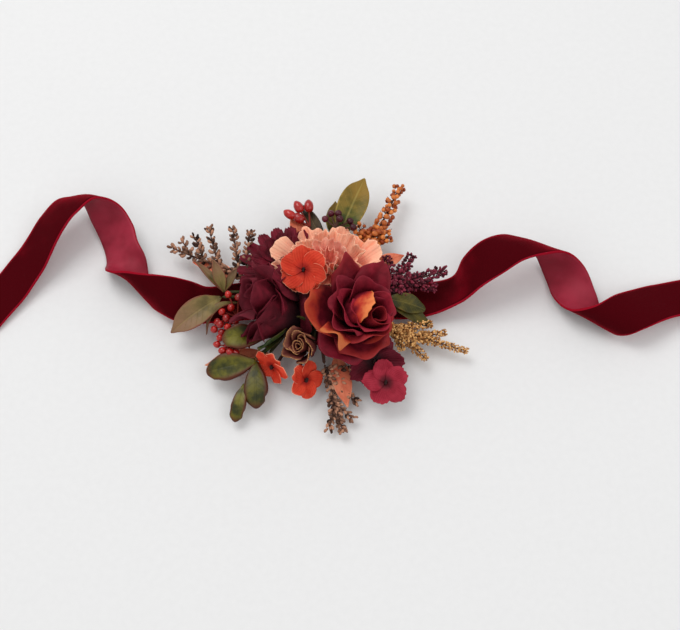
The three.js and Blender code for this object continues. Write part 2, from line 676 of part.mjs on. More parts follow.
const LEAVES = [
  {
    name: 'laurel_leaf_left', finish: 'laurel', bearing: 184, blades: [
      {
        baseShares: [-0.66, -0.05, 0.19], tipShares: [-0.98, -0.3, 0.13],
        width: 10.5, rise: 1.6, fold: 12, roll: -6,
      },
    ], shares: LAUREL_SHARES,
  },
  {
    name: 'narrow_leaves_left', finish: 'laurel', bearing: 174, blades: [
      {
        baseShares: [-0.64, -0.01, 0.19], tipShares: [-0.84, 0.24, 0.22],
        width: 3.6, rise: 1.0, fold: 30, roll: 10,
      },
      {
        baseShares: [-0.64, -0.01, 0.19], tipShares: [-0.72, 0.24, 0.29],
        width: 5.2, rise: 1.2, fold: 30, roll: 0,
      },
      {
        baseShares: [-0.64, -0.01, 0.19], tipShares: [-0.55, 0.19, 0.24],
        width: 3.6, rise: 1.0, fold: 25, roll: 0,
      },
    ], shares: NARROW_LEAF_SHARES,
  },
  {
    name: 'arched_leaf_left', finish: 'laurel', bearing: 193, blades: [
      {
        baseShares: [-0.55, -0.09, 0.16], tipShares: [-0.75, -0.33, 0.07],
        width: 3.6, rise: 3.0, fold: 20, roll: 0,
      },
    ], shares: NARROW_LEAF_SHARES,
  },
  {
    name: 'jade_leaf_upper', finish: 'jade', bearing: 215, blades: [
      {
        baseShares: [-0.36, -0.38, 0.22], tipShares: [-0.64, -0.41, 0.24],
        width: 8.6, rise: 1.6, fold: 6, roll: -12,
      },
    ], shares: SUCCULENT_SHARES, thickness: SUCCULENT_THICKNESS,
  },
  {
    name: 'jade_sprig_lower', finish: 'jade', bearing: 230, blades: [
      {
        baseShares: [-0.42, -0.56, 0.12], tipShares: [-0.74, -0.63, 0.06],
        width: 9.4, rise: 1.4, fold: 6, roll: -14,
      },
      {
        baseShares: [-0.42, -0.56, 0.11], tipShares: [-0.41, -0.91, 0.04],
        width: 8.6, rise: 1.2, fold: 6, roll: 10,
      },
      {
        baseShares: [-0.49, -0.72, 0.06], tipShares: [-0.55, -1.0, -0.02],
        width: 5.4, rise: 1.0, fold: 6, roll: 0,
      },
    ], shares: SUCCULENT_SHARES, thickness: SUCCULENT_THICKNESS,
  },
  {
    name: 'olive_leaf_back', finish: 'olive', bearing: 76, blades: [
      {
        baseShares: [0.11, 0.46, 0.19], tipShares: [0.29, 0.95, 0.26],
        width: 11, rise: 1.6, fold: 14, roll: 18,
      },
    ], shares: LAUREL_SHARES,
  },
  {
    name: 'olive_leaf_back_small', finish: 'olive', bearing: 84, blades: [
      {
        baseShares: [0.08, 0.45, 0.13], tipShares: [0.09, 0.79, 0.15],
        width: 7.4, rise: 1.0, fold: 10, roll: 10,
      },
    ], shares: LAUREL_SHARES,
  },
  {
    name: 'bronze_leaf_back', finish: 'bronze', bearing: 92, blades: [
      {
        baseShares: [0.02, 0.4, 0.16], tipShares: [-0.14, 0.75, 0.19],
        width: 5.4, rise: 1.2, fold: 16, roll: -10,
      },
    ], shares: LAUREL_SHARES,
  },
  {
    name: 'olive_leaves_right', finish: 'olive', bearing: 346, blades: [
      {
        baseShares: [0.41, -0.07, 0.22], tipShares: [0.68, -0.15, 0.16],
        width: 7.4, rise: 1.4, fold: 10, roll: 6,
      },
      {
        baseShares: [0.41, -0.08, 0.21], tipShares: [0.72, -0.27, 0.09],
        width: 5.6, rise: 1.4, fold: 10, roll: -8,
      },
    ], shares: SUCCULENT_SHARES,
  },
  {
    name: 'coral_leaf_left', finish: 'coral', bearing: 156, blades: [
      {
        baseShares: [-0.54, 0.13, 0.11], tipShares: [-0.87, 0.28, 0.08],
        width: 6.2, rise: 0.8, fold: 6, roll: 0,
      },
    ], shares: LAUREL_SHARES,
  },
  {
    name: 'coral_leaf_back', finish: 'coral', bearing: 115, blades: [
      {
        baseShares: [-0.12, 0.38, 0.17], tipShares: [-0.2, 0.67, 0.2],
        width: 6.4, rise: 0.8, fold: 6, roll: 0,
      },
    ], shares: LAUREL_SHARES,
  },
  {
    name: 'coral_leaf_right', finish: 'coral', bearing: 20, blades: [
      {
        baseShares: [0.34, 0.21, 0.14], tipShares: [0.55, 0.31, 0.16],
        width: 6.0, rise: 0.8, fold: 6, roll: 0,
      },
    ], shares: LAUREL_SHARES,
  },
  {
    name: 'coral_leaf_low', finish: 'coral', bearing: 278, blades: [
      {
        baseShares: [0.09, -0.49, 0.11], tipShares: [0.17, -0.9, 0.03],
        width: 7.6, rise: 1.0, fold: 6, roll: 0,
      },
    ], shares: LAUREL_SHARES,
  },
  {
    name: 'coral_leaf_low_left', finish: 'coral', bearing: 238, blades: [
      {
        baseShares: [-0.34, -0.49, 0.05], tipShares: [-0.76, -0.57, -0.04],
        width: 6.4, rise: 0.6, fold: 4, roll: 0,
      },
    ], shares: LAUREL_SHARES,
  },
];

function addLeaves() {
  for (const leaf of LEAVES) {
    const thickness = leaf.thickness ?? LEAF_THICKNESS;
    const blades = leaf.blades.map((size) => ({
      ...size, base: inSpray(size.baseShares), tip: inSpray(size.tipShares), shares: leaf.shares, thickness,
    }));
    const joint = blades[0].base;
    const shapes = [rod([socket(leaf.bearing), joint], STEM_RADIUS)];
    for (const size of blades) {
      shapes.push(rod([joint, vector(size.base).lerp(vector(size.tip), STALK_SHARE).toArray()], TWIG_RADIUS));
      shapes.push(blade(size));
    }
    addPiece(leaf.name, leaf.finish, WORLD, shapes);
  }
}

// Berries on short twigs off one stem each; a pointed berry is stretched along its twig.
const BERRY_SPRAYS = [
  {
    name: 'red_berries_left', finish: 'red', bearing: 203, radius: 1.4, stretch: 1,
    hubShares: [-0.55, -0.2, 0.14],
    placeShares: [
      [-0.65, -0.18, 0.22], [-0.59, -0.15, 0.24], [-0.68, -0.25, 0.16], [-0.62, -0.24, 0.24],
      [-0.56, -0.26, 0.22], [-0.65, -0.33, 0.13], [-0.54, -0.08, 0.29],
    ],
  },
  {
    name: 'red_berries_low', finish: 'red', bearing: 223, radius: 1.3, stretch: 1.15,
    hubShares: [-0.54, -0.45, 0.13],
    placeShares: [
      [-0.68, -0.41, 0.08], [-0.64, -0.48, 0.16], [-0.59, -0.51, 0.19], [-0.55, -0.55, 0.16],
      [-0.61, -0.43, 0.07],
    ],
  },
  {
    name: 'red_buds_back', finish: 'red', bearing: 105, radius: 1.25, stretch: 1.7,
    hubShares: [-0.08, 0.52, 0.27],
    placeShares: [[-0.22, 0.62, 0.31], [-0.16, 0.68, 0.33], [-0.09, 0.69, 0.32], [-0.16, 0.59, 0.3]],
  },
  {
    name: 'maroon_berries_back', finish: 'maroon', bearing: 62, radius: 1.3, stretch: 1,
    hubShares: [0.09, 0.5, 0.32],
    placeShares: [
      [0.02, 0.57, 0.34], [0.06, 0.62, 0.33], [0.11, 0.61, 0.37], [0.12, 0.55, 0.41], [0.19, 0.55, 0.34],
      [0.21, 0.49, 0.36],
    ],
  },
];

function addBerries() {
  for (const spray of BERRY_SPRAYS) {
    const joint = inSpray(spray.hubShares);
    const rows = BERRY_ROW_SHARES.map(([share, radiusShare]) => [share, spray.radius * radiusShare]);
    const shapes = [rod([socket(spray.bearing), joint], STEM_RADIUS)];
    for (const placeShares of spray.placeShares) {
      const middle = vector(inSpray(placeShares));
      const length = middle.distanceTo(vector(joint));
      const end = middle.clone().lerp(vector(joint), -(spray.radius * spray.stretch) / length);
      const swell = (length - spray.radius * spray.stretch) / (length + spray.radius * spray.stretch);
      const berry = rows.map(([share, radius]) => [THREE.MathUtils.lerp(swell, 1, share), radius]);
      shapes.push(beadedRod([joint, end.toArray()], [[0, TWIG_RADIUS], [swell, TWIG_RADIUS], ...berry], 5));
    }
    addPiece(spray.name, spray.finish, WORLD, shapes);
  }
}

// Dried sprigs: a stem from the glue to the tip, and side twigs with buds along them all.
const SPRIGS = [
  {
    name: 'brown_heather_left', finish: 'brown', bearing: 164,
    stemShares: [[-0.47, 0.1, 0.19], [-0.72, 0.23, 0.16], [-1.01, 0.39, 0.11]],
    twigShares: [
      [[-0.89, 0.32, 0.13], [-0.94, 0.43, 0.15]], [[-0.79, 0.27, 0.14], [-0.86, 0.47, 0.18]],
      [[-0.68, 0.21, 0.16], [-0.76, 0.53, 0.22]], [[-0.54, 0.14, 0.18], [-0.6, 0.52, 0.22]],
      [[-0.5, 0.11, 0.19], [-0.48, 0.5, 0.21]],
    ],
    buds: { count: 3, startShare: 0.3, radius: 1.3, seed: 1 },
  },
  {
    name: 'brown_heather_low', finish: 'brown', bearing: 267,
    stemShares: [[0.02, -0.58, 0.12], [0.08, -0.84, 0.03], [0.14, -1.07, -0.02]],
    twigShares: [
      [[0.03, -0.62, 0.11], [0.31, -0.61, 0.07]], [[0.05, -0.71, 0.07], [0.23, -0.85, 0.02]],
      [[0.08, -0.85, 0.03], [0.22, -0.95, -0.02]],
    ],
    buds: { count: 3, startShare: 0.3, radius: 1.3, seed: 2 },
  },
  {
    name: 'orange_berry_spike', finish: 'amber', bearing: 42,
    stemShares: [[0.29, 0.33, 0.14], [0.4, 0.58, 0.16], [0.53, 0.92, 0.15]],
    twigShares: [[[0.32, 0.4, 0.14], [0.24, 0.57, 0.16]], [[0.34, 0.45, 0.15], [0.46, 0.48, 0.16]]],
    buds: { count: 5, startShare: 0.1, radius: 1.7, seed: 3 },
  },
  {
    name: 'purple_heather', finish: 'maroon', bearing: 359,
    stemShares: [[0.41, 0.01, 0.22], [0.61, 0.09, 0.2], [0.82, 0.18, 0.16]],
    twigShares: [
      [[0.44, 0.02, 0.22], [0.43, 0.27, 0.22]], [[0.51, 0.05, 0.21], [0.6, 0.29, 0.22]],
      [[0.58, 0.08, 0.2], [0.75, 0.03, 0.16]], [[0.47, 0.04, 0.22], [0.55, -0.05, 0.21]],
    ],
    buds: { count: 3, startShare: 0.2, radius: 1.6, seed: 4 },
  },
  {
    name: 'gold_sprig', finish: 'gold', bearing: 326,
    stemShares: [[0.43, -0.3, 0.18], [0.67, -0.37, 0.1], [0.95, -0.45, 0.02]],
    twigShares: [
      [[0.49, -0.32, 0.16], [0.72, -0.26, 0.15]], [[0.54, -0.34, 0.14], [0.68, -0.52, 0.04]],
      [[0.63, -0.36, 0.11], [0.81, -0.32, 0.1]], [[0.47, -0.31, 0.17], [0.52, -0.47, 0.13]],
    ],
    buds: { count: 3, startShare: 0.2, radius: 1.5, seed: 5 },
  },
];

function addSprigs() {
  for (const sprig of SPRIGS) {
    const stem = sprig.stemShares.map(inSpray);
    const shapes = [
      rod([socket(sprig.bearing), stem[0]], STEM_RADIUS),
      beadedRod(stem, budRows({ ...sprig.buds, count: sprig.buds.count + 2 })),
    ];
    for (const twigShares of sprig.twigShares) {
      shapes.push(beadedRod(twigShares.map(inSpray), budRows(sprig.buds)));
    }
    addPiece(sprig.name, sprig.finish, WORLD, shapes);
  }
}

function addGlue() {
  addPiece('glue_bed', 'glue', WORLD, [(grow) => {
    const dome = turned(DOME_PROFILE_SHARES, 1, 1, 0, 12)(0);
    dome.scale(GLUE.length / 2 + grow, GLUE.depth / 2 + grow, GLUE.height + grow);
    dome.translate(0, 0, GLUE_Z);
    return dome;
  }]);
}

const FINISHES = {
  felt: { color: 0x54151d, roughness: 0.95, metalness: 0 },
  velvet: { color: 0x6a0010, roughness: 0.8, metalness: 0 },
  glue: { color: 0xd9d2c0, roughness: 0.35, metalness: 0 },
  stem: { color: 0x4a5a2c, roughness: 0.6, metalness: 0 },
  rose: { color: 0x7a1a2c, roughness: 0.7, metalness: 0 },
  plum: { color: 0x501830, roughness: 0.7, metalness: 0 },
  mauve: { color: 0x8a4a48, roughness: 0.7, metalness: 0 },
  peach: { color: 0xe09a78, roughness: 0.75, metalness: 0 },
  wine: { color: 0x7a1838, roughness: 0.75, metalness: 0 },
  orange: { color: 0xd8402a, roughness: 0.7, metalness: 0 },
  laurel: { color: 0x7a6a40, roughness: 0.6, metalness: 0 },
  jade: { color: 0x5a6a28, roughness: 0.3, metalness: 0 },
  olive: { color: 0x5c5c20, roughness: 0.5, metalness: 0 },
  bronze: { color: 0x4c3c20, roughness: 0.5, metalness: 0 },
  coral: { color: 0xe07a50, roughness: 0.7, metalness: 0 },
  red: { color: 0xb01c1c, roughness: 0.3, metalness: 0 },
  maroon: { color: 0x5a1424, roughness: 0.5, metalness: 0 },
  brown: { color: 0x5a3a30, roughness: 0.85, metalness: 0 },
  amber: { color: 0xc0641c, roughness: 0.6, metalness: 0 },
  gold: { color: 0xc8963c, roughness: 0.4, metalness: 0.4 },
};

function boxesMeet(first, second) {
  return [0, 1, 2].every((axis) => (
    first.min[axis] <= second.max[axis] && second.min[axis] <= first.max[axis]
  ));
}

function unionOf(shapes, grow) {
  return shapes.map((shape) => solidOf(shape(grow))).reduce((whole, next) => whole.add(next));
}

function assemble() {
  const corsage = new THREE.Group();
  const reserved = [];
  for (const piece of pieces) {
    let solid = unionOf(piece.shapes, 0);
    for (const other of reserved) {
      if (boxesMeet(solid.boundingBox(), other.box)) {
        solid = solid.subtract(other.solid);
      }
    }
    const space = unionOf(piece.shapes, CLEARANCE);
    reserved.push({ solid: space, box: space.boundingBox() });
    const geometry = largestBody(solid);
    geometry.applyMatrix4(piece.frame.clone().invert());
    const mesh = new THREE.Mesh(geometry, new THREE.MeshStandardMaterial(FINISHES[piece.finish]));
    mesh.name = piece.name;
    piece.frame.decompose(mesh.position, mesh.quaternion, mesh.scale);
    corsage.add(mesh);
  }
  return corsage;
}

addBase();
addBlooms();
addLeaves();
addBerries();
addSprigs();
addGlue();

export default assemble();
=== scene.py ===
"""Wrist corsage: fabric flowers, leaves, berries and dried sprigs in a bed of glue on two ovals of
felt, with a velvet ribbon held between the felts and folded into a loop on each side.

The tables are in millimetres and degrees, or in shares of the sizes that part.mjs names, and every
point is turned into metres as it is placed.
"""

import logging
import math
import random
from collections.abc import Callable, Sequence
from dataclasses import dataclass, replace
from enum import Enum

import bmesh
import bpy
from mathutils import Matrix, Quaternion, Vector, noise


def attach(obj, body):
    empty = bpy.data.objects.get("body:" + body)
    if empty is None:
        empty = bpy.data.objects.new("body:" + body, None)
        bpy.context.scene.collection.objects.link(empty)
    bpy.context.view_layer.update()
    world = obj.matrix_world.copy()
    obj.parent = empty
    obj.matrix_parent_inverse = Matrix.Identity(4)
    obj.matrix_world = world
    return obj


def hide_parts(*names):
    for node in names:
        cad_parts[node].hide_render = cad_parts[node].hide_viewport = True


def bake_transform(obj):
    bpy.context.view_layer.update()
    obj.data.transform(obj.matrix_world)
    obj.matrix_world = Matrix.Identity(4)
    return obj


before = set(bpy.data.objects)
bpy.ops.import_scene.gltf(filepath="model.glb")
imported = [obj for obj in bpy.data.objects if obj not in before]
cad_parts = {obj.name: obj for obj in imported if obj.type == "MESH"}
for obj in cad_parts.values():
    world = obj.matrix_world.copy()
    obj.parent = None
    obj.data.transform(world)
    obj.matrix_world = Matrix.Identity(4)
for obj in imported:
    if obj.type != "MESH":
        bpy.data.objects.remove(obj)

log = logging.getLogger("corsage")

Triple = tuple[float, float, float]
Pair = tuple[float, float]
Row = tuple[float, ...]
Point = Sequence[float]
Placer = Callable[[float, float], Vector]

MM = 0.001
UP = Vector((0, 0, 1))
FULL_TURN = 2 * math.pi
GOLDEN_ANGLE = 2.39996
WELD = 1e-7

SPRAY = (57.0, 50.0, 29.0)
GLUE = (20.0, 14.5, 5.6)
FELT = (24.0, 18.0, 1.2)
BASE_FELT_Z = 2.6
GLUE_Z = 4.1
SOCKET_Z = 6.5
SOCKET_SHARE = 0.88
RIBBON_WIDTH = 16.0
RIBBON_Z = 1.9
HINGE_X = 25.2
PEG = 0.9
WIRE = 0.6
TWIG = 0.4
STAMEN = 2.2

ROSE_PETAL = (0.3, 0.86, 1.04, 0.78)
RUFFLED_PETAL = (0.3, 0.8, 1.0, 0.84)
LAUREL = (0.1, 0.8, 1.0, 0.72, 0.06)
NARROW_LEAF = (0.2, 1.0, 0.8, 0.06)
SUCCULENT = (0.22, 0.84, 1.04, 0.62)
LOBE = (0.2, 0.62, 0.96, 1.0, 0.8)
BROADLEAF = (0.1, 0.72, 1.0, 1.0, 0.72, 0.1)
CALYX_PROFILE = (0.3, 0.36, 0.55, 0.8, 1.0)
KNOB_PROFILE = (0.3, 0.5, 0.55, 0.6, 0.35)
THREAD_PROFILE = (0.2, 0.22, 0.24, 0.5, 0.3)
BERRY_PROFILE = (0.35, 0.8, 0.98, 1.0, 0.88, 0.55, 0.2)
BUD_PROFILE = (0.4, 0.85, 1.0, 0.8, 0.35)
THORN_PROFILE = (0.35, 0.3, 0.18, 0.05)
STALK_PROFILE = (TWIG, 0.32, 0.26, 0.16)

# Where along or across a petal, from 0 to 1, its rim, sides, corners and lip start to turn.
RIM_FROM = 0.66
SIDE_FROM = 0.55
CORNER_FROM = 0.45
LIP_FROM = 0.7

# The waves of the noise in the finishes, to the metre, and the heights of their relief, in metres.
BLOTCHES = 260.0
LEAF_BLOTCHES = 210.0
FIBRES = 900.0
WEAVE = 5200.0
SPECKS = 2600.0
VEIN_CLOTH = 1500.0
RIBBON_THREADS = 5400.0
SHADE_DRIFT = 60.0
SATIN_DRIFT = 90.0
PAPER = 400.0
VEIN_RELIEF = 0.0002
PILE_RELIEF = 0.00025
THREAD_RELIEF = 0.00004
SPECK_GOLD = "d8a468"


class Body(Enum):
    """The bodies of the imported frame."""

    SPRAY = "spray"
    LEFT = "ribbon_left"
    RIGHT = "ribbon_right"


class Hold(Enum):
    """How a cloth piece is held."""

    FOLDED = "folded"
    LAID = "laid"


def smooth(value: float, low: float, high: float) -> float:
    """Eases from 0 at low to 1 at high."""
    share = min(max((value - low) / (high - low), 0.0), 1.0)
    return share * share * (3 - 2 * share)


def beyond(value: float, start: float) -> float:
    """How far a value has come from start on its way to 1."""
    return max(0.0, (value - start) / (1 - start))


def wobble(index: int, seed: int) -> float:
    """A repeatable wobble between -1 and 1."""
    return math.sin(12.9 * (index + 1) + 7.8 * seed)


def crumple(u: float, v: float, seed: float, size: float = 1.0) -> float:
    """Soft unevenness of cloth, about -0.5 to 0.5, over a patch whose parameters run from 0 to 1."""
    return noise.noise(Vector((u / size, v / size, seed * 3.7)))


def pick(values: Sequence[float], index: int) -> float:
    """One member's value of a list that may be shorter than the set."""
    return values[index % len(values)]


def blend(rows: Sequence, place: float):
    """Catmull-Rom curve through rows of numbers or vectors, with place counted in rows.

    Args:
        rows: The values that the curve passes through.
        place: Where on the curve, from 0 to one less than the number of rows.

    Returns:
        A value of the same kind as the rows.
    """
    first = min(int(place), len(rows) - 2)
    t = place - first
    p0, p1, p2, p3 = (rows[min(max(first + step, 0), len(rows) - 1)] for step in (-1, 0, 1, 2))
    return (
        p0 * ((-t + 2 * t * t - t**3) / 2)
        + p1 * ((2 - 5 * t * t + 3 * t**3) / 2)
        + p2 * ((t + 4 * t * t - 3 * t**3) / 2)
        + p3 * ((t**3 - t * t) / 2)
    )


def heading(points: Sequence[Vector], place: float, step: float = 0.05) -> Vector:
    """The direction of a curve through points, at a place counted in points."""
    ahead = blend(points, min(place + step, len(points) - 1))
    return (ahead - blend(points, max(place - step, 0))).normalized()


def route_length(route: Sequence[Vector]) -> float:
    """The length of a line through points."""
    return sum((after - before).length for before, after in zip(route, route[1:]))


def share_at(shares: Sequence[float], v: float) -> float:
    """The width share at v, from 0 at the base to 1 at the tip."""
    return max(blend(shares, v * (len(shares) - 1)), 0.02)


def in_spray(shares: Point) -> Vector:
    """A place in the spray, from shares of its half length, half depth and height."""
    x, y, z = shares
    return Vector((x * SPRAY[0], y * SPRAY[1], GLUE_Z + z * SPRAY[2]))


def in_glue(shares: Point) -> Vector:
    """The end of a stem inside the glue, from shares of its half length and half depth."""
    return Vector((shares[0] * GLUE[0], shares[1] * GLUE[1], SOCKET_Z))


def socket(bearing: float) -> Vector:
    """The end of a stem that comes in over the glue's rim from a compass bearing."""
    angle = math.radians(bearing)
    return in_glue((SOCKET_SHARE * math.cos(angle), SOCKET_SHARE * math.sin(angle)))


def stand_at(at: Point, axis: Point, lean: Pair = (0.0, 0.0)) -> Matrix:
    """A bloom's own frame, with its axis up and its top pushed sideways by lean."""
    turn = UP.rotation_difference(Vector(axis).normalized())
    push = Matrix.Identity(4)
    push[0][2], push[1][2] = lean
    return Matrix.Translation(in_spray(at)) @ turn.to_matrix().to_4x4() @ push


def rgb(code: str) -> tuple[float, float, float, float]:
    """The linear colour of a six-digit hexadecimal colour."""
    channels = (int(code[step : step + 2], 16) / 255 for step in (0, 2, 4))
    red, green, blue = (c / 12.92 if c <= 0.04045 else ((c + 0.055) / 1.055) ** 2.4 for c in channels)
    return red, green, blue, 1.0


class Bench:
    """A material's nodes, with short calls for the kinds that the finishes use.

    Where a call takes a colour or a number, it takes a socket, a plain value or a colour's code.
    """

    def __init__(self, name: str) -> None:
        self.material = bpy.data.materials.new(name)
        self.material.use_nodes = True
        self.tree = self.material.node_tree
        self.skin = self.tree.nodes["Principled BSDF"]

    def feed(self, target, value) -> None:
        """Links a socket to the target, or sets the target to a plain value."""
        if isinstance(value, bpy.types.NodeSocket):
            self.tree.links.new(value, target)
        else:
            target.default_value = rgb(value) if isinstance(value, str) else value

    def node(self, kind: str, inputs: dict | None = None, **settings):
        """Adds a node, sets its settings and feeds its inputs by name or number."""
        made = self.tree.nodes.new("ShaderNode" + kind)
        for key, value in settings.items():
            setattr(made, key, value)
        for key, value in (inputs or {}).items():
            self.feed(made.inputs[key], value)
        return made

    def calc(self, operation: str, *values):
        """One step of arithmetic on sockets or numbers."""
        return self.node("Math", dict(enumerate(values)), operation=operation).outputs[0]

    def times(self, first, second):
        """The product of two sockets or numbers."""
        return self.calc("MULTIPLY", first, second)

    def stray(self, cloud, amount: float, value):
        """A value that noise moves by half the amount either way."""
        return self.calc("MULTIPLY_ADD", self.calc("SUBTRACT", cloud, 0.5), amount, value)

    def ramp(self, value, low: float, high: float, start: float = 0.0, end: float = 1.0):
        """Eases from start to end as the value goes from low to high."""
        limits = {"Value": value, "From Min": low, "From Max": high, "To Min": start, "To Max": end}
        return self.node("MapRange", limits, interpolation_type="SMOOTHSTEP").outputs[0]

    def mix(self, amount, first, second):
        """Mixes two colours."""
        return self.node("Mix", {0: amount, 6: first, 7: second}, data_type="RGBA").outputs[2]

    def noise(self, scale: float, detail: float = 2.0):
        """Noise of so many waves to the metre, in the piece's own coordinates."""
        where = self.node("TexCoord").outputs["Object"]
        return self.node("TexNoise", {"Vector": where, "Scale": scale, "Detail": detail}).outputs[0]

    def tag(self, name: str):
        """A number that is written on the piece's points."""
        return self.node("Attribute", attribute_name=name).outputs["Fac"]

    def across_along(self):
        """The patch's parameters, across and along, from 0 to 1."""
        split = self.node("SeparateXYZ", {0: self.node("UVMap", uv_map="UVMap").outputs[0]})
        return split.outputs[0], split.outputs[1]

    def edge(self, u):
        """How near the patch's side is, from 0 at the middle to 1."""
        return self.calc("ABSOLUTE", self.calc("MULTIPLY_ADD", u, 2.0, -1.0))

    def shade(self, colour, value, saturation: float = 1.0):
        """Brightens or darkens a colour."""
        inputs = {"Color": colour, "Value": value, "Saturation": saturation}
        return self.node("HueSaturation", inputs).outputs[0]

    def toned(self, colour, darkest: float, lightest: float):
        """Brightens or darkens a colour by the points' tone."""
        return self.shade(colour, self.ramp(self.tag("tone"), 0.0, 1.0, darkest, lightest))

    def relief(self, height, distance: float, strength: float = 0.6) -> None:
        """Raises the surface by a height, in metres for a height of 1."""
        bump = self.node("Bump", {"Height": height, "Distance": distance, "Strength": strength})
        self.feed(self.skin.inputs["Normal"], bump.outputs[0])

    def surface(self, **inputs) -> bpy.types.Material:
        """Feeds the surface's inputs, named with underscores, and returns the material."""
        for key, value in inputs.items():
            self.feed(self.skin.inputs[key.replace("_", " ")], value)
        return self.material


@dataclass(frozen=True)
class Silk:
    """Silk of petals: blotched, with painted shade at the root and in rib grooves, painted light towards the
    tip, and tips and rims of their own colour.

    The points' tone makes one petal lighter than its neighbour, and their blush says how much of
    the tip colour a petal has.
    """

    name: str
    slot: str
    root_shade: str
    body: str
    light: str
    tip: str
    warm: str = ""
    tip_from: float = 0.62
    root_shade_reach: float = 0.6
    painted_tip_light: float = 0.3
    rim: str = ""
    rim_from: float = 0.95
    ribs: int = 0
    rib_groove_shade: float = 0.25
    rib_depth: float = 0.00025
    glitter: float = 0.0
    roughness: float = 0.62
    sheen: float = 0.18

    def make(self) -> bpy.types.Material:
        """Builds the material."""
        bench = Bench(self.name)
        u, v = bench.across_along()
        blotch = bench.noise(BLOTCHES, 4)
        cloth = bench.mix(bench.ramp(blotch, 0.36, 0.66, 0.0, 0.7), self.body, self.light)
        # Painted light: the petal lightens towards its tip, where it catches the light.
        cloth = bench.mix(bench.ramp(v, 0.6, 1.0, 0.0, self.painted_tip_light), cloth, self.light)
        # Painted shade: the petal darkens to the root shade colour towards its root, where it lies deep in
        # the bloom.
        cloth = bench.mix(bench.ramp(v, 0.1, self.root_shade_reach), self.root_shade, cloth)
        dyed = bench.times(bench.ramp(bench.stray(blotch, 0.5, v), self.tip_from, 1.0), bench.tag("blush"))
        if self.warm:
            cloth = bench.mix(bench.ramp(dyed, 0.0, 0.6), cloth, self.warm)
            dyed = bench.ramp(dyed, 0.5, 1.4)
        cloth = bench.mix(dyed, cloth, self.tip)
        fibres = bench.times(bench.noise(FIBRES, 3), 0.5)
        height = bench.calc("MULTIPLY_ADD", bench.noise(WEAVE, 1), 0.16, fibres)
        if self.ribs:
            wave = bench.calc("SINE", bench.times(u, FULL_TURN * self.ribs))
            line = bench.times(bench.ramp(wave, 0.2, 1.0), bench.ramp(v, 0.1, 0.5))
            # Painted shade: the rib lines, which the relief below sinks into grooves, are darkened.
            cloth = bench.mix(bench.times(line, self.rib_groove_shade), cloth, bench.shade(cloth, 0.6, 1.1))
            height = bench.calc("SUBTRACT", height, line)
        if self.rim:
            side = bench.times(bench.edge(u), bench.ramp(v, 0.2, 0.6, 0.9, 0.985))
            outer = bench.calc("MAXIMUM", v, side)
            cloth = bench.mix(bench.ramp(outer, self.rim_from, 0.99), cloth, self.rim)
        cloth = bench.toned(cloth, 0.72, 1.3)
        metal = 0.0
        if self.glitter:
            specks = bench.ramp(bench.noise(SPECKS, 0), 0.52, 0.6)
            frost = bench.times(specks, bench.ramp(v, 1 - self.glitter, 1.0))
            cloth = bench.mix(frost, cloth, SPECK_GOLD)
            metal = bench.times(frost, 0.5)
        bench.relief(height, self.rib_depth)
        return bench.surface(
            Base_Color=cloth, Roughness=self.roughness, Metallic=metal, Specular_IOR_Level=0.18,
            Sheen_Weight=self.sheen, Sheen_Roughness=0.5, Sheen_Tint=self.body,
        )


@dataclass(frozen=True)
class LeafCloth:
    """Waxed cloth of a leaf, with a midrib, side veins and a worn rim."""

    name: str
    slot: str
    body: str
    light: str
    vein: str
    rim: str
    rim_from: float = 0.82
    veins: int = 7
    vein_amount: float = 0.6
    tip: str = ""
    roughness: float = 0.42
    coat: float = 0.0

    def make(self) -> bpy.types.Material:
        """Builds the material."""
        bench = Bench(self.name)
        u, v = bench.across_along()
        edge = bench.edge(u)
        blotch = bench.noise(LEAF_BLOTCHES, 4)
        leaf = bench.mix(bench.ramp(blotch, 0.34, 0.68), self.body, self.light)
        if self.tip:
            leaf = bench.mix(bench.ramp(bench.stray(blotch, 0.8, v), 0.2, 0.8, 0.0, 0.85), leaf, self.tip)
        slant = bench.calc("MULTIPLY_ADD", edge, -0.2, v)
        comb = bench.calc("ABSOLUTE", bench.calc("SINE", bench.times(slant, math.pi * self.veins)))
        side = bench.times(bench.ramp(comb, 0.16, 0.0), bench.ramp(edge, 1.0, 0.7))
        lines = bench.calc("MAXIMUM", side, bench.ramp(edge, 0.1, 0.03))
        leaf = bench.mix(bench.times(lines, self.vein_amount), leaf, self.vein)
        outer = bench.calc("MAXIMUM", edge, bench.calc("POWER", v, 3.0))
        leaf = bench.mix(bench.ramp(bench.stray(blotch, 0.4, outer), self.rim_from, 1.0), leaf, self.rim)
        leaf = bench.toned(leaf, 0.75, 1.25)
        height = bench.calc("SUBTRACT", bench.times(bench.noise(VEIN_CLOTH, 3), 0.4), lines)
        bench.relief(height, VEIN_RELIEF)
        return bench.surface(
            Base_Color=leaf, Roughness=self.roughness, Specular_IOR_Level=0.25,
            Coat_Weight=self.coat, Coat_Roughness=0.3,
        )


@dataclass(frozen=True)
class Grain:
    """A speckled natural finish for berries, seeds, twigs, wax and glue.

    The points' tone moves a berry from the dark to the light colour, and its far end takes the
    end colour.
    """

    name: str
    slot: str
    dark: str
    light: str
    end: str
    end_from: float = 0.86
    scale: float = FIBRES
    depth: float = 0.0002
    roughness: float = 0.5
    coat: float = 0.0
    metal: float = 0.0
    glow: float = 0.0

    def make(self) -> bpy.types.Material:
        """Builds the material."""
        bench = Bench(self.name)
        _, v = bench.across_along()
        grain = bench.noise(self.scale, 4)
        amount = bench.calc("MULTIPLY_ADD", bench.tag("tone"), 0.7, bench.times(grain, 0.4))
        skin = bench.mix(bench.ramp(amount, 0.15, 0.9), self.dark, self.light)
        skin = bench.mix(bench.ramp(v, self.end_from, 1.0), skin, self.end)
        bench.relief(grain, self.depth)
        return bench.surface(
            Base_Color=skin, Roughness=self.roughness, Coat_Weight=self.coat, Coat_Roughness=0.12,
            Metallic=self.metal, Subsurface_Weight=self.glow, Subsurface_Radius=(0.002, 0.001, 0.0008),
            Specular_IOR_Level=0.25,
        )


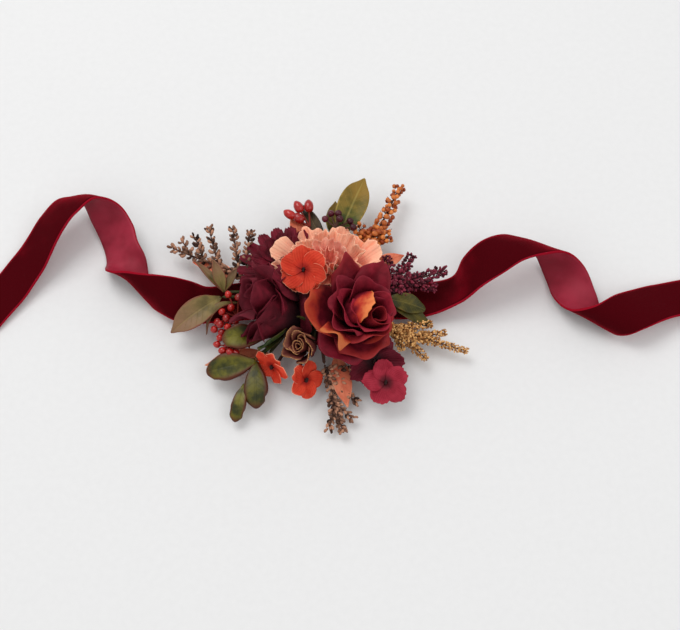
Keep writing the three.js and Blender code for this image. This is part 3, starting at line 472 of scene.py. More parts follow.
@dataclass(frozen=True)
class Pile:
    """Cut pile or felt: a dark ground with painted sheen, a lighter colour where the surface is seen at a
    slant, and bright edges.
    """

    name: str
    slot: str
    ground: str
    sheen_colour: str
    edge: str
    edge_width: float = 0.0
    streak: float = 500.0
    sheen: float = 0.6

    def make(self) -> bpy.types.Material:
        """Builds the material."""
        bench = Bench(self.name)
        u, _ = bench.across_along()
        tufts = bench.noise(self.streak * 6, 2)
        # Painted sheen: where the surface is seen at a slant, the ground turns to the sheen colour, unevenly
        # by the drift noise.
        slant = bench.node("LayerWeight", {"Blend": 0.45}).outputs["Facing"]
        lift = bench.stray(bench.noise(SHADE_DRIFT, 3), 0.9, slant)
        pile = bench.mix(bench.ramp(lift, 0.3, 1.0), self.ground, self.sheen_colour)
        pile = bench.mix(bench.ramp(tufts, 0.3, 0.75, 0.0, 0.35), pile, bench.shade(pile, 0.55))
        if self.edge_width:
            start = 1 - self.edge_width
            pile = bench.mix(bench.ramp(bench.edge(u), start, start + 0.02), pile, self.edge)
        bench.relief(tufts, PILE_RELIEF)
        return bench.surface(
            Base_Color=pile, Roughness=0.75, Specular_IOR_Level=0.02, Sheen_Weight=self.sheen,
            Sheen_Roughness=0.4, Sheen_Tint=self.sheen_colour,
        )


@dataclass(frozen=True)
class Satin:
    """The ribbon's smooth reverse, with fine threads across and a soft gloss."""

    name: str
    slot: str
    body: str
    light: str

    def make(self) -> bpy.types.Material:
        """Builds the material."""
        bench = Bench(self.name)
        _, v = bench.across_along()
        threads = bench.calc("SINE", bench.times(v, RIBBON_THREADS))
        satin = bench.mix(bench.ramp(bench.noise(SATIN_DRIFT, 3), 0.3, 0.7), self.body, self.light)
        satin = bench.mix(bench.ramp(threads, -1.0, 1.0, 0.0, 0.2), satin, bench.shade(satin, 0.7))
        bench.relief(threads, THREAD_RELIEF)
        return bench.surface(
            Base_Color=satin, Roughness=0.45, Anisotropic=0.4, Specular_IOR_Level=0.25,
            Sheen_Weight=0.1, Sheen_Tint=self.light,
        )


VELVET = Pile("velvet", "velvet", "4a040c", "940c20", "9c1226", edge_width=0.06, sheen=0.35)
SATIN = Satin("satin_reverse", "velvet", "8c1a2e", "aa2c42")
FELT_CLOTH = Pile("wool_felt", "felt", "4a1018", "7a2430", "5a1a22", streak=300, sheen=0.3)
GLUE_WAX = Grain("hot_glue", "glue", "c8bea8", "e6dfcc", "d9d2c0", scale=160, roughness=0.25, glow=0.3)
STEM_WAX = Grain("wrapped_wire", "stem", "2c3016", "4a4826", "3a3c1e", scale=700, roughness=0.6)
DARK_KNOB = Grain("blossom_wire", "stem", "2c1414", "4a2018", "1c0c0c", scale=900, roughness=0.6)

ROSE = Silk(
    "rose_silk", "rose", "20050b", "6c1020", "9c2438", "f08c50", warm="c03a2a", tip_from=0.5, root_shade_reach=0.7,
    roughness=0.55,
)
PLUM = Silk(
    "plum_silk", "plum", "14040a", "520c1a", "7c1a2c", "702432", tip_from=0.7, root_shade_reach=0.75, painted_tip_light=0.2,
    roughness=0.7,
)
MAUVE = Silk(
    "mauve_silk", "mauve", "300a12", "602224", "905044", "a87050", glitter=0.07, tip_from=0.84, root_shade_reach=0.85,
)
PEACH = Silk(
    "peach_silk", "peach", "c8685a", "ec9c84", "fcc0a0", "f8c0a0", ribs=110, rib_depth=0.0002, sheen=0.2,
    rib_groove_shade=0.14, root_shade_reach=0.8, painted_tip_light=0.5,
)
PINK = Silk("pink_silk", "peach", "c8645c", "ec9080", "f8b49c", "f8bca0", ribs=70, rib_groove_shade=0.12, root_shade_reach=0.4)
WINE = Silk("wine_silk", "wine", "1c040a", "4e0a18", "761428", "761828", ribs=5, painted_tip_light=0.15)
ORANGE = Silk(
    "orange_silk", "orange", "a01c10", "d0341e", "e44a30", "e85438", ribs=9, rim="f09a7c", rim_from=0.96,
    rib_groove_shade=0.12, root_shade_reach=0.4,
)
BLOSSOM_WINE = Silk(
    "blossom_wine_silk", "wine", "540e1a", "8e1c2e", "ac3042", "aa3042", ribs=12, rib_groove_shade=0.2, root_shade_reach=0.4,
)
BLOSSOM_DARK = Silk(
    "blossom_dark_silk", "wine", "2c0810", "5c1020", "7c1c30", "6c1828", ribs=12, rib_groove_shade=0.2, root_shade_reach=0.6,
)

LAUREL_CLOTH = LeafCloth(
    "laurel_cloth", "laurel", "584c28", "7c6c3a", "8c7a48", "74402c", veins=9, vein_amount=0.3,
    tip="7e5c44", rim_from=0.86,
)
JADE_CLOTH = LeafCloth(
    "jade_wax", "jade", "2a2e06", "6a6412", "4c5418", "54200f",
    rim_from=0.52, vein_amount=0.0, coat=0.12,
)
SHADE_CLOTH = LeafCloth(
    "shade_cloth", "olive", "2c2c0c", "5a5018", "7c7038", "6c5420", vein_amount=0.3, rim_from=0.92,
)
OLIVE_CLOTH = LeafCloth(
    "olive_cloth", "olive", "36400f", "5c5c20", "a0904a", "947c38", vein_amount=0.35,
    tip="8a6a2a", rim_from=0.92,
)
BRONZE_CLOTH = LeafCloth("bronze_cloth", "bronze", "2c2416", "54442a", "7a6438", "3c2418", veins=6)
SEPAL_CLOTH = LeafCloth(
    "sepal_cloth", "stem", "22300c", "4a541e", "5c6428", "4a3c18", veins=5, vein_amount=0.3,
)
CORAL_CLOTH = LeafCloth(
    "coral_cloth", "coral", "d8684a", "ee8c68", "c85c3c", "f0a482", veins=5, vein_amount=0.3, roughness=0.6,
)

RED_BERRY = Grain("red_berry", "red", "8c1010", "d02a20", "3c0c08", roughness=0.22, coat=0.6, scale=500)
RED_TWIG = Grain("red_twig", "red", "5c1812", "8c2c1c", "4c120c", scale=700, roughness=0.6)
MAROON_BERRY = Grain("maroon_berry", "maroon", "3a0c18", "742034", "200810", roughness=0.4, coat=0.2)
BROWN_TWIG = Grain("brown_twig", "brown", "3a241c", "64443a", "2c1c18", roughness=0.85, depth=0.0003)
BROWN_BUD = Grain("brown_bud", "brown", "2a1814", "c08c70", "1a100c", end_from=0.7, roughness=0.85)
PURPLE_BUD = Grain("purple_bud", "maroon", "2c0914", "862a3e", "ac5c66", end_from=0.86, roughness=0.7)
AMBER_BERRY = Grain("amber_berry", "amber", "8c3414", "e88c48", "6c2c10", end_from=0.9, roughness=0.4)
THORN = Grain("thorn", "amber", "2c140c", "5c2c18", "1c0c08", roughness=0.7)
GOLD_SEED = Grain("gold_seed", "gold", "8c5424", "f4c07c", "c08850", roughness=0.45, metal=0.2)


class Clay:
    """One piece's mesh while it is made from grids that are moved into shape."""

    def __init__(self) -> None:
        self.mesh = bmesh.new()
        self.uv = self.mesh.loops.layers.uv.new("UVMap")
        self.tone = self.mesh.verts.layers.float.new("tone")
        self.blush = self.mesh.verts.layers.float.new("blush")

    def patch(self, across: int, along: int, place: Placer, tone: float = 0.5, blush: float = 0.0) -> list:
        """Adds a grid and moves its points.

        Args:
            across: Faces across.
            along: Faces along.
            place: Gives the point, in mm, for the parameters across and along, from 0 to 1.
            tone: How light the patch is, from 0 to 1.
            blush: How much of the tip colour it has, from 0 to a little over 1.

        Returns:
            The new points.
        """
        made = bmesh.ops.create_grid(self.mesh, x_segments=across, y_segments=along, size=1.0)["verts"]
        spots = {vertex: ((vertex.co.x + 1) / 2, (vertex.co.y + 1) / 2) for vertex in made}
        for face in {face for vertex in made for face in vertex.link_faces}:
            face.smooth = True
            for loop in face.loops:
                loop[self.uv].uv = spots[loop.vert]
        for vertex, (u, v) in spots.items():
            vertex.co = place(u, v) * MM
            vertex[self.tone] = tone
            vertex[self.blush] = blush
        return made

    def weld(self, made: list) -> None:
        """Joins a patch's points that lie on each other."""
        bmesh.ops.remove_doubles(self.mesh, verts=made, dist=WELD)

    def tube(
        self, route: Sequence[Vector], radii: Sequence[float], sides: int = 8, rows: int = 6,
        tone: float = 0.5, skin: int = 0,
    ) -> None:
        """Adds a closed tube along a smooth route, with its ends drawn in to a point.

        Args:
            route: Points that the tube's middle follows, in mm.
            radii: Radii along the tube, in mm, evenly spaced.
            sides: Faces round the tube.
            rows: Faces along it.
            tone: How light the tube is.
            skin: Number of the material slot.
        """
        points = [Vector(point) for point in route]
        inner = 1 / (rows + 2)
        side0 = (points[-1] - points[0]).orthogonal().normalized()

        def place(u: float, v: float) -> Vector:
            along = min(max((v - inner / 2) / (1 - inner), 0.0), 1.0)
            at = along * (len(points) - 1)
            ahead = heading(points, at)
            side = (side0 - ahead * side0.dot(ahead)).normalized()
            radius = blend(radii, along * (len(radii) - 1)) if 0 < v < 1 else 0.0
            angle = FULL_TURN * u
            out = side * math.cos(angle) + ahead.cross(side) * math.sin(angle)
            return blend(points, at) + out * max(radius, 0.0)

        made = self.patch(sides, rows + 2, place, tone=tone)
        for face in {face for vertex in made for face in vertex.link_faces}:
            face.material_index = skin
        self.weld(made)

    def cast(self, name: str, closed: bool = False) -> bpy.types.Object:
        """Turns the mesh into a piece at the origin.

        Args:
            name: The piece's name.
            closed: Whether the mesh is made of closed forms, whose faces are turned outwards.

        Returns:
            The new object.
        """
        if closed:
            bmesh.ops.recalc_face_normals(self.mesh, faces=self.mesh.faces)
        mesh = bpy.data.meshes.new(name)
        self.mesh.to_mesh(mesh)
        self.mesh.free()
        piece = bpy.data.objects.new(name, mesh)
        bpy.context.scene.collection.objects.link(piece)
        return piece


class Workbench:
    """Keeps the materials and puts finished pieces on the frame."""

    def __init__(self) -> None:
        self.materials: dict[str, bpy.types.Material] = {}

    def paint(self, piece: bpy.types.Object, *finishes) -> None:
        """Puts finishes on a piece, one for each of its material slots."""
        for finish in finishes:
            if finish.name not in self.materials:
                self.materials[finish.name] = finish.make()
            piece.data.materials.append(self.materials[finish.name])

    def thicken(self, piece: bpy.types.Object, thickness: float, **settings: int) -> None:
        """Gives a sheet its thickness, in mm, on both sides of its middle."""
        wall = piece.modifiers.new("thickness", "SOLIDIFY")
        wall.thickness = thickness * MM
        wall.offset = 0
        for key, value in settings.items():
            setattr(wall, key, value)

    def soften(self, piece: bpy.types.Object) -> None:
        """Rounds a piece with a subdivision surface."""
        surface = piece.modifiers.new("rounding", "SUBSURF")
        surface.levels = surface.render_levels = 1

    def mount(self, piece: bpy.types.Object, *nodes: str) -> None:
        """Makes a piece ride on the spray in place of the frame's nodes."""
        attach(piece, Body.SPRAY.value)
        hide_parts(*nodes)
        log.info("%s stands for %s", piece.name, ", ".join(nodes))

    def solid(self, clay: Clay, name: str, node: str, *finishes) -> None:
        """Casts, paints and mounts a piece that is made of closed forms."""
        piece = clay.cast(name, closed=True)
        self.paint(piece, *finishes)
        self.mount(piece, node)

    def sheet(self, clay: Clay, name: str, node: str, finish, thickness: float) -> None:
        """Casts, paints, thickens, rounds and mounts a piece that is made of sheets."""
        piece = clay.cast(name)
        self.paint(piece, finish)
        self.thicken(piece, thickness)
        self.soften(piece)
        self.mount(piece, node)


@dataclass(frozen=True)
class Bowl:
    """A bowl turned about a bloom's axis.

    Its side starts at the radius start and the slope pitch, at a height over the bloom's place,
    and bends by curl over its length.
    """

    length: float
    start: float
    height: float
    pitch: float
    curl: float

    def point(self, run: float, angle: float, depth: float) -> Vector:
        """A point up the side.

        Args:
            run: The way up the side.
            angle: The place round the axis, in radians.
            depth: The distance inwards from the side.

        Returns:
            The point in the bloom's own frame.
        """
        first = math.radians(self.pitch)
        bend = math.radians(self.curl) / self.length
        slope = first + bend * run
        radius = self.start + (math.sin(slope) - math.sin(first)) / bend - depth * math.sin(slope)
        rise = (math.cos(first) - math.cos(slope)) / bend + depth * math.cos(slope)
        return Vector((radius * math.cos(angle), radius * math.sin(angle), self.height + rise))


@dataclass(frozen=True)
class PetalRing:
    """Separate petals round a bloom, each lying over one neighbour and under the other.

    Lengths are in mm and turns and tilts in degrees; reach, wide, peak and nick are shares of a
    petal's own size. A tuple holds one value for each petal, and starts again where it is shorter
    than the ring. The rim rolls outwards by roll, the tip by lip and the corners by curl_back; out
    and offset move petals away from the axis and the whole ring sideways.
    """

    name: str
    bowl: Bowl
    width: float
    turns: Row
    seed: int
    blush: Row = (0.0,)
    reach: Row = (1.0,)
    wide: Row = (1.0,)
    tilt: Row = (0.0,)
    peak: Row = (0.03,)
    shares: Row = ROSE_PETAL
    layer: float = 1.0
    thickness: float = 0.35
    roll: float = 0.9
    crease: float = 0.3
    fold: float = 0.6
    corner: float = 0.2
    curl_back: float = 0.0
    nick: float = 0.012
    tone: float = 0.5
    spread: float = 0.3
    out: Row = (0.0,)
    lip: Row = (0.0,)
    offset: Pair = (0.0, 0.0)

    def petal(self, index: int) -> Placer:
        """The surface of one petal in the bloom's own frame."""
        turn = math.radians(self.turns[index])
        reach = pick(self.reach, index) * (1 + 0.04 * wobble(index, self.seed))
        bowl = replace(self.bowl, pitch=self.bowl.pitch + pick(self.tilt, index))
        width = self.width * pick(self.wide, index)
        spacing = FULL_TURN / len(self.turns)
        seed = self.seed * 7 + index
        lift = 0.6 + 0.4 * wobble(index, self.seed + 3)

        def place(u: float, v: float) -> Vector:
            w = 1 - 2 * u
            corner = self.corner * abs(w) ** 3 * v**3
            peak = pick(self.peak, index) * (1 - abs(w)) ** 1.5 * v**3
            nick = self.nick * (math.sin(23 * w + seed) + 2 * noise.noise(Vector((9 * w, seed, 2)))) * v**6
            run = v * bowl.length * reach * (1 - corner + peak + nick)
            radius = bowl.point(run, 0, 0).x
            swing = -w * min(width / 2 * share_at(self.shares, v) / max(radius, 0.1), 1.5)
            rolled = self.roll * beyond(v, RIM_FROM) ** 2 * (0.6 + 0.7 * lift)
            rolled += 0.8 * self.roll * beyond(w, SIDE_FROM) ** 2 * v
            rolled += self.curl_back * max(0.0, abs(w) - 0.3) ** 1.5 * beyond(v, CORNER_FROM) ** 2
            rolled += pick(self.lip, index) * beyond(v, LIP_FROM) ** 2
            waves = self.fold * v * v * math.sin(4.4 * w + 2.1 * seed)
            waves += 1.1 * crumple(u, v, seed, 0.35) * v
            ridge = self.crease * (1 - abs(w)) ** 2 * v
            depth = self.layer * swing / spacing - rolled - ridge + waves - pick(self.out, index)
            return bowl.point(run, turn + swing, depth) + Vector((*self.offset, 0))

        return place

    def build(self, clay: Clay, stand: Matrix) -> None:
        """Adds the petals to a mesh, in the bloom's place."""
        for index in range(len(self.turns)):
            petal = self.petal(index)
            tone = self.tone + self.spread * wobble(index, self.seed + 1)
            clay.patch(12, 12, lambda u, v: stand @ petal(u, v), tone, pick(self.blush, index))


@dataclass(frozen=True)
class PunchedRing:
    """Petals punched from one sheet round a hole, dished, creased and waved."""

    name: str
    bowl: Bowl
    lobes: int
    first: float
    notch: float
    roundness: float
    reach: Row = (1.0,)
    ruffle: float = 0.0
    frill: float = 0.0
    crease: float = 0.4
    roll: float = 0.6
    steps: int = 12
    rows: int = 10
    thickness: float = 0.45
    seed: int = 0
    blush: float = 0.5

    def lobe_reach(self, index: int) -> float:
        """How far a lobe reaches: the list goes once round the bloom, whatever the lobes' number."""
        place = index / self.lobes * len(self.reach)
        first = int(place)
        return pick(self.reach, first) * (1 - place + first) + pick(self.reach, first + 1) * (place - first)

    def point(self, u: float, v: float) -> Vector:
        """A point of the sheet in the bloom's own frame."""
        angle = FULL_TURN * (u % 1.0) + math.radians(self.first)
        phase = self.lobes * (u % 1.0)
        middle = round(phase)
        s = 2 * (phase - middle)
        lobe = 1 - abs(s) ** self.roundness
        rim = Vector((math.cos(angle), math.sin(angle), 0.3 * self.seed))
        nick = 1 + (0.03 + 0.1 * self.frill) * noise.noise(rim * 9)
        reach = self.bowl.length * self.lobe_reach(middle % self.lobes) * nick
        reach *= 1 - (1 - self.notch) * (1 - lobe)
        waves = self.ruffle * v * math.cos(2 * self.lobes * angle)
        waves += 1.2 * v * noise.noise(rim * (1.5 + 2 * v))
        waves += self.frill * v**3 * (noise.noise(rim * 11) * 3.2 + 0.5 * math.sin(5 * self.lobes * angle))
        rolled = self.roll * wobble(middle % self.lobes, self.seed + 2) * v**3
        depth = waves - self.crease * (1 - abs(s)) * v + 1.3 * self.crease * (1 - v) * v - rolled
        return self.bowl.point(v * reach, angle, depth)

    def build(self, clay: Clay, stand: Matrix) -> None:
        """Adds the sheet to a mesh, in the bloom's place."""
        across = self.lobes * self.steps
        made = clay.patch(across, self.rows, lambda u, v: stand @ self.point(u, v), blush=self.blush)
        for vertex in made:
            spot = stand.inverted() @ (vertex.co / MM)
            lobe = round(self.lobes * (math.atan2(spot.y, spot.x) - math.radians(self.first)) / FULL_TURN)
            vertex[clay.tone] = 0.5 + 0.25 * wobble(lobe % self.lobes, self.seed)
        clay.weld(made)


@dataclass(frozen=True)
class WoundCentre:
    """A strip of silk that is wound into the closed middle of a bloom."""

    name: str
    radius: float
    height: float
    bottom: float
    turns: float = 2.3
    flare: float = 0.7
    ruffle: float = 0.0
    thickness: float = 0.35
    blush: float = 0.3
    start: float = 0.0
    hollow: float = 0.22

    def build(self, clay: Clay, stand: Matrix) -> None:
        """Adds the strip to a mesh, in the bloom's place."""

        def place(u: float, v: float) -> Vector:
            angle = FULL_TURN * self.turns * u + math.radians(self.start)
            swell = 0.72 + 0.9 * v * (1 - v) + 0.12 * v
            rim = self.flare * u * beyond(v, LIP_FROM) ** 2
            wave = self.ruffle * v * math.sin(9 * angle) + 0.5 * u * v * noise.noise(Vector((angle, v, 4)))
            radius = self.radius * (self.hollow + (0.94 - self.hollow) * u) * swell + rim + wave
            dip = 0.06 * math.sin(2 * angle + 1) + 0.14 * (1 - u)
            height = self.bottom + self.height * v * (1 - dip)
            return stand @ Vector((radius * math.cos(angle), radius * math.sin(angle), height))

        clay.patch(int(26 * self.turns), 8, place, 0.45, self.blush)


@dataclass(frozen=True)
class TuftedCentre:
    """A button of short threads that stand close together."""

    name: str
    radius: float
    height: float
    bottom: float
    threads: int = 46

    def build(self, clay: Clay, stand: Matrix) -> None:
        """Adds the threads to a mesh, in the bloom's place."""
        for index in range(self.threads):
            share = (index + 0.5) / self.threads
            angle = GOLDEN_ANGLE * index
            out = self.radius * math.sqrt(share) * Vector((math.cos(angle), math.sin(angle), 0))
            foot = 0.5 * out + UP * self.bottom
            tip = out + UP * (self.bottom + self.height * (1 - 0.35 * share))
            clay.tube([stand @ foot, stand @ tip], THREAD_PROFILE, 5, 5, 0.5 + 0.5 * wobble(index, 8))


@dataclass(frozen=True)
class Bloom:
    """A flower on a calyx, with the wire that holds it in the glue."""

    name: str
    finish: Silk
    at: Triple
    axis: Triple
    foot: Pair
    calyx: Triple
    centre: tuple[WoundCentre | TuftedCentre | PetalRing | PunchedRing, ...]
    rings: tuple[PetalRing | PunchedRing, ...]
    centre_finish: Silk | Grain | None = None
    lean: Pair = (0.0, 0.0)
    sepals: tuple[Pair, ...] = ()

    def build_calyx(self, bench: Workbench) -> None:
        """Makes the cone under the petals, its wire, its sepals and the hub inside the petals."""
        stand = stand_at(self.at, self.axis)
        node = f"{self.name}_calyx"
        radius, height, peg = self.calyx
        foot, top, seat = stand @ (UP * -height), stand @ (UP * -0.3), in_glue(self.foot)
        cone = Clay()
        cone.tube([foot, top], [radius * share for share in CALYX_PROFILE], 14, 8)
        cone.tube([foot.lerp(top, 0.3), foot.lerp(seat, 0.4), seat], (PEG, PEG))
        bench.solid(cone, f"wire_{self.name}", node, STEM_WAX)
        if self.sepals:
            turns, tilts = zip(*self.sepals)
            ring = PetalRing(
                "sepals", Bowl(19, 3.6, -0.8, 24, 26), 7, turns, 9, tilt=tilts, shares=NARROW_LEAF,
                crease=0.5, roll=0.2,
            )
            leaves = Clay()
            ring.build(leaves, stand)
            bench.sheet(leaves, f"sepals_{self.name}", node, SEPAL_CLOTH, ring.thickness)
        hub = Clay()
        hub.tube([foot.lerp(top, 0.9), stand @ (UP * 0.6)], (radius * 1.04, radius), 14, 2)
        hub.tube([top, stand @ (UP * peg)], (PEG, PEG), rows=2)
        bench.solid(hub, f"hub_{self.name}", node, self.finish)

    def build(self, bench: Workbench) -> None:
        """Makes the calyx, then the centre and the rings of petals, which lean less and less."""
        self.build_calyx(bench)
        for index, parts in enumerate((self.centre, *((ring,) for ring in self.rings))):
            amount = max(1 - index / 2, 0)
            stand = stand_at(self.at, self.axis, (amount * self.lean[0], amount * self.lean[1]))
            clay = Clay()
            for part in parts:
                part.build(clay, stand)
            node = f"{self.name}_{parts[0].name}"
            name = f"silk_{node}"
            finish = self.centre_finish if self.centre_finish and not index else self.finish
            if isinstance(parts[0], TuftedCentre):
                piece = clay.cast(name, closed=True)
                bench.paint(piece, finish)
                bench.soften(piece)
                bench.mount(piece, node)
            else:
                bench.sheet(clay, name, node, finish, parts[0].thickness)


@dataclass(frozen=True)
class Blossom:
    """A small stamped blossom on a wire, with a knob at its middle."""

    name: str
    finish: Silk
    at: Triple
    axis: Triple
    lobes: int
    first: float
    length: float
    bearing: float = 0.0
    foot: Pair | None = None
    seed: int = 0
    layers: int = 1
    broad: float = 1.25
    ragged: float = 0.02
    crumpled: float = 0.3

    def build(self, bench: Workbench) -> None:
        """Makes the wire and the petals."""
        stand = stand_at(self.at, self.axis)
        foot = in_glue(self.foot) if self.foot else socket(self.bearing)
        wire = Clay()
        wire.tube([stand @ (UP * (-STAMEN / 2)), stand @ (UP * (-2 * STAMEN)), foot], (WIRE, WIRE), rows=10)
        for side in (-1, 1):
            knob = [stand @ (UP * -STAMEN), stand @ Vector((0.1 * side, 0.45 * side, 1.5))]
            wire.tube(knob, KNOB_PROFILE, sides=10, tone=0.1)
        bench.solid(wire, f"wire_{self.name}", f"{self.name}_stem", DARK_KNOB)
        petals = Clay()
        for layer in range(self.layers):
            # A lower layer gets tone 0, darker than the upper layer's 0.5: painted shade under the upper
            # petals.
            ring = PetalRing(
                "petals", Bowl(self.length * 1.02 + 0.5, 0.65, -1.3 * layer, 5, 16), self.length * self.broad,
                tuple(self.first + 360 / self.lobes * (step + 0.5 * layer) for step in range(self.lobes)),
                self.seed + 10 * layer, (0.2,), shares=LOBE, layer=0.4, roll=0.5, crease=0.35,
                fold=self.crumpled, nick=self.ragged, corner=0.12, spread=0.2, tone=0.5 - 0.5 * layer,
            )
            ring.build(petals, stand)
        bench.sheet(petals, f"silk_{self.name}", f"{self.name}_petals", self.finish, ring.thickness)


@dataclass(frozen=True)
class Blade:
    """A leaf's blade: base and tip in shares of the spray, then sizes in mm and degrees."""

    base: Triple
    tip: Triple
    width: float
    rise: float
    fold: float = 6.0
    roll: float = 0.0
    bow: float = 0.0

    def place(self, shares: Sequence[float], seed: int) -> Placer:
        """The blade's surface."""
        start, end = in_spray(self.base), in_spray(self.tip)
        length = (end - start).length
        along = (end - start).normalized()
        level = along.cross(UP).normalized()
        turn = Quaternion(along, math.radians(self.roll))
        lifted = level.cross(along)
        side, face = turn @ level, turn @ lifted
        fold = math.radians(self.fold)

        def point(u: float, v: float) -> Vector:
            w = 2 * u - 1
            half = self.width / 2 * share_at(shares, v)
            slope = math.pi * self.rise * math.cos(math.pi * v) / length
            normal = (face - along * slope).normalized()
            wave = 0.2 * math.sin(9 * v + seed) * w * w + 0.5 * crumple(u, v, seed, 0.5) * abs(w)
            bent = abs(w) ** 1.4 * half * math.sin(fold) + wave
            run = v * (1 - shares[-1] * 0.3 * abs(w) ** 2.5 * v**3)
            spot = start + along * run * length
            spot += (lifted * self.rise + level * self.bow) * math.sin(math.pi * v)
            return spot + side * w * half * math.cos(fold) + normal * bent

        return point


@dataclass(frozen=True)
class LeafSpray:
    """One or more leaves on a wire that comes out over the glue's rim."""

    name: str
    finish: LeafCloth
    bearing: float
    blades: tuple[Blade, ...]
    shares: Row
    thickness: float

    def build(self, bench: Workbench) -> None:
        """Makes the blades and their stalks."""
        joint = in_spray(self.blades[0].base)
        under = UP * (-self.thickness / 2)
        leaves, stalks = Clay(), Clay()
        stalks.tube([socket(self.bearing), joint], (WIRE, WIRE), rows=4)
        for index, blade in enumerate(self.blades):
            seed = sum(self.name.encode()) + index
            place = blade.place(self.shares, seed)
            leaves.patch(10, 16, place, 0.5 + 0.3 * wobble(index, seed))
            route = [joint] + [place(0.5, v) + under for v in (0.1, 0.35, 0.6, 0.85)]
            stalks.tube(route, STALK_PROFILE, rows=12)
        bench.sheet(leaves, f"leaf_{self.name}", self.name, self.finish, self.thickness)
        bench.solid(stalks, f"stalk_{self.name}", self.name, STEM_WAX)


@dataclass(frozen=True)
class BerrySpray:
    """Berries on wires that part from one stem."""

    name: str
    finish: Grain
    bearing: float
    radius: float
    stretch: float
    hub: Triple
    places: tuple[Triple, ...]
    twig_finish: Grain = RED_TWIG

    def build(self, bench: Workbench) -> None:
        """Makes the berries and their wires."""
        hub = in_spray(self.hub)
        berries, wires = Clay(), Clay()
        wires.tube([socket(self.bearing), hub], (WIRE, WIRE), rows=4)
        for index, place in enumerate(self.places):
            middle = in_spray(place)
            out = (middle - hub).normalized() * self.radius * self.stretch
            size = self.radius * (1 + 0.1 * wobble(index, 4))
            radii = [size * share for share in BERRY_PROFILE]
            berries.tube([middle - out, middle + out], radii, 12, 9, 0.5 + 0.4 * wobble(index, 6))
            bow = hub.lerp(middle, 0.5) + Vector((0, 0, 0.5 * wobble(index, 2)))
            wires.tube([hub, bow, middle - out * 0.8], (TWIG, TWIG * 0.8))
        bench.solid(berries, f"berry_{self.name}", self.name, self.finish)
        bench.solid(wires, f"twig_{self.name}", self.name, self.twig_finish)


@dataclass(frozen=True)
class Buds:
    """How buds stand along a twig, in mm and degrees."""

    spacing: float
    length: float
    girth: float
    lean: float
    lift: float
    start: float = 0.15
    taper: float = 0.4
    around: int = 1
    bow: float = 0.0


@dataclass(frozen=True)
class Sprig:
    """A dried sprig: a stem and side twigs, with buds along them."""

    name: str
    buds_finish: Grain
    twig_finish: Grain
    bearing: float
    stem: tuple[Triple, ...]
    twigs: tuple[tuple[Triple, Triple], ...]
    buds: Buds
    seed: int
    thorns: float = 0.0

    def dress(self, clay: Clay, route: Sequence[Vector], dice: random.Random) -> None:
        """Sets buds along one twig."""
        buds = self.buds
        count = max(int(route_length(route) * (1 - buds.start) / buds.spacing), 2)
        for step in range(count * buds.around):
            share = buds.start + (1 - buds.start) * (step // buds.around + 0.5) / count
            share = min(share + dice.uniform(-0.4, 0.4) / count, 1.0)
            place = share * (len(route) - 1)
            middle, ahead = blend(route, place), heading(route, place)
            side = ahead.orthogonal().normalized()
            side.rotate(Quaternion(ahead, GOLDEN_ANGLE * step + dice.uniform(-0.5, 0.5)))
            lean = math.radians(buds.lean * dice.uniform(0.75, 1.2))
            out = ahead * math.cos(lean) + side * math.sin(lean)
            size = (1 - buds.taper * share) * dice.uniform(0.8, 1.2)
            foot = middle + side * buds.lift * dice.uniform(0.3, 1.0) * (1 - buds.taper * share)
            radii = [buds.girth * size * wide for wide in BUD_PROFILE]
            tone = dice.uniform(0.0, 1.0)
            top = foot + out * buds.length * size
            clay.tube([foot, foot.lerp(top, 0.5) + side * buds.bow, top], radii, 6, 5, tone)
            if self.thorns and step % 3 == 0:
                tip = foot + (out + ahead * 0.6).normalized() * self.thorns * size
                clay.tube([middle, foot, tip], THORN_PROFILE, sides=4, rows=4, skin=1)

    def build(self, bench: Workbench) -> None:
        """Makes the stem, its twigs and their buds."""
        dice = random.Random(self.seed)
        stem = [in_spray(place) for place in self.stem]
        wood, buds = Clay(), Clay()
        wood.tube([socket(self.bearing), stem[0]], (WIRE, WIRE), rows=4)
        wood.tube(stem, (TWIG, TWIG, 0.25), rows=12)
        self.dress(buds, stem, dice)
        for twig in self.twigs:
            first, last = in_spray(twig[0]), in_spray(twig[1])
            bow = first.lerp(last, 0.5) + Vector((0.8, -0.5, 0.6)) * dice.uniform(-1, 1)
            wood.tube([first, bow, last], (TWIG, 0.3, 0.2), rows=8)
            self.dress(buds, [first, bow, last], dice)
        bench.solid(wood, f"twig_{self.name}", self.name, self.twig_finish)
        bench.solid(buds, f"bud_{self.name}", self.name, self.buds_finish, THORN)


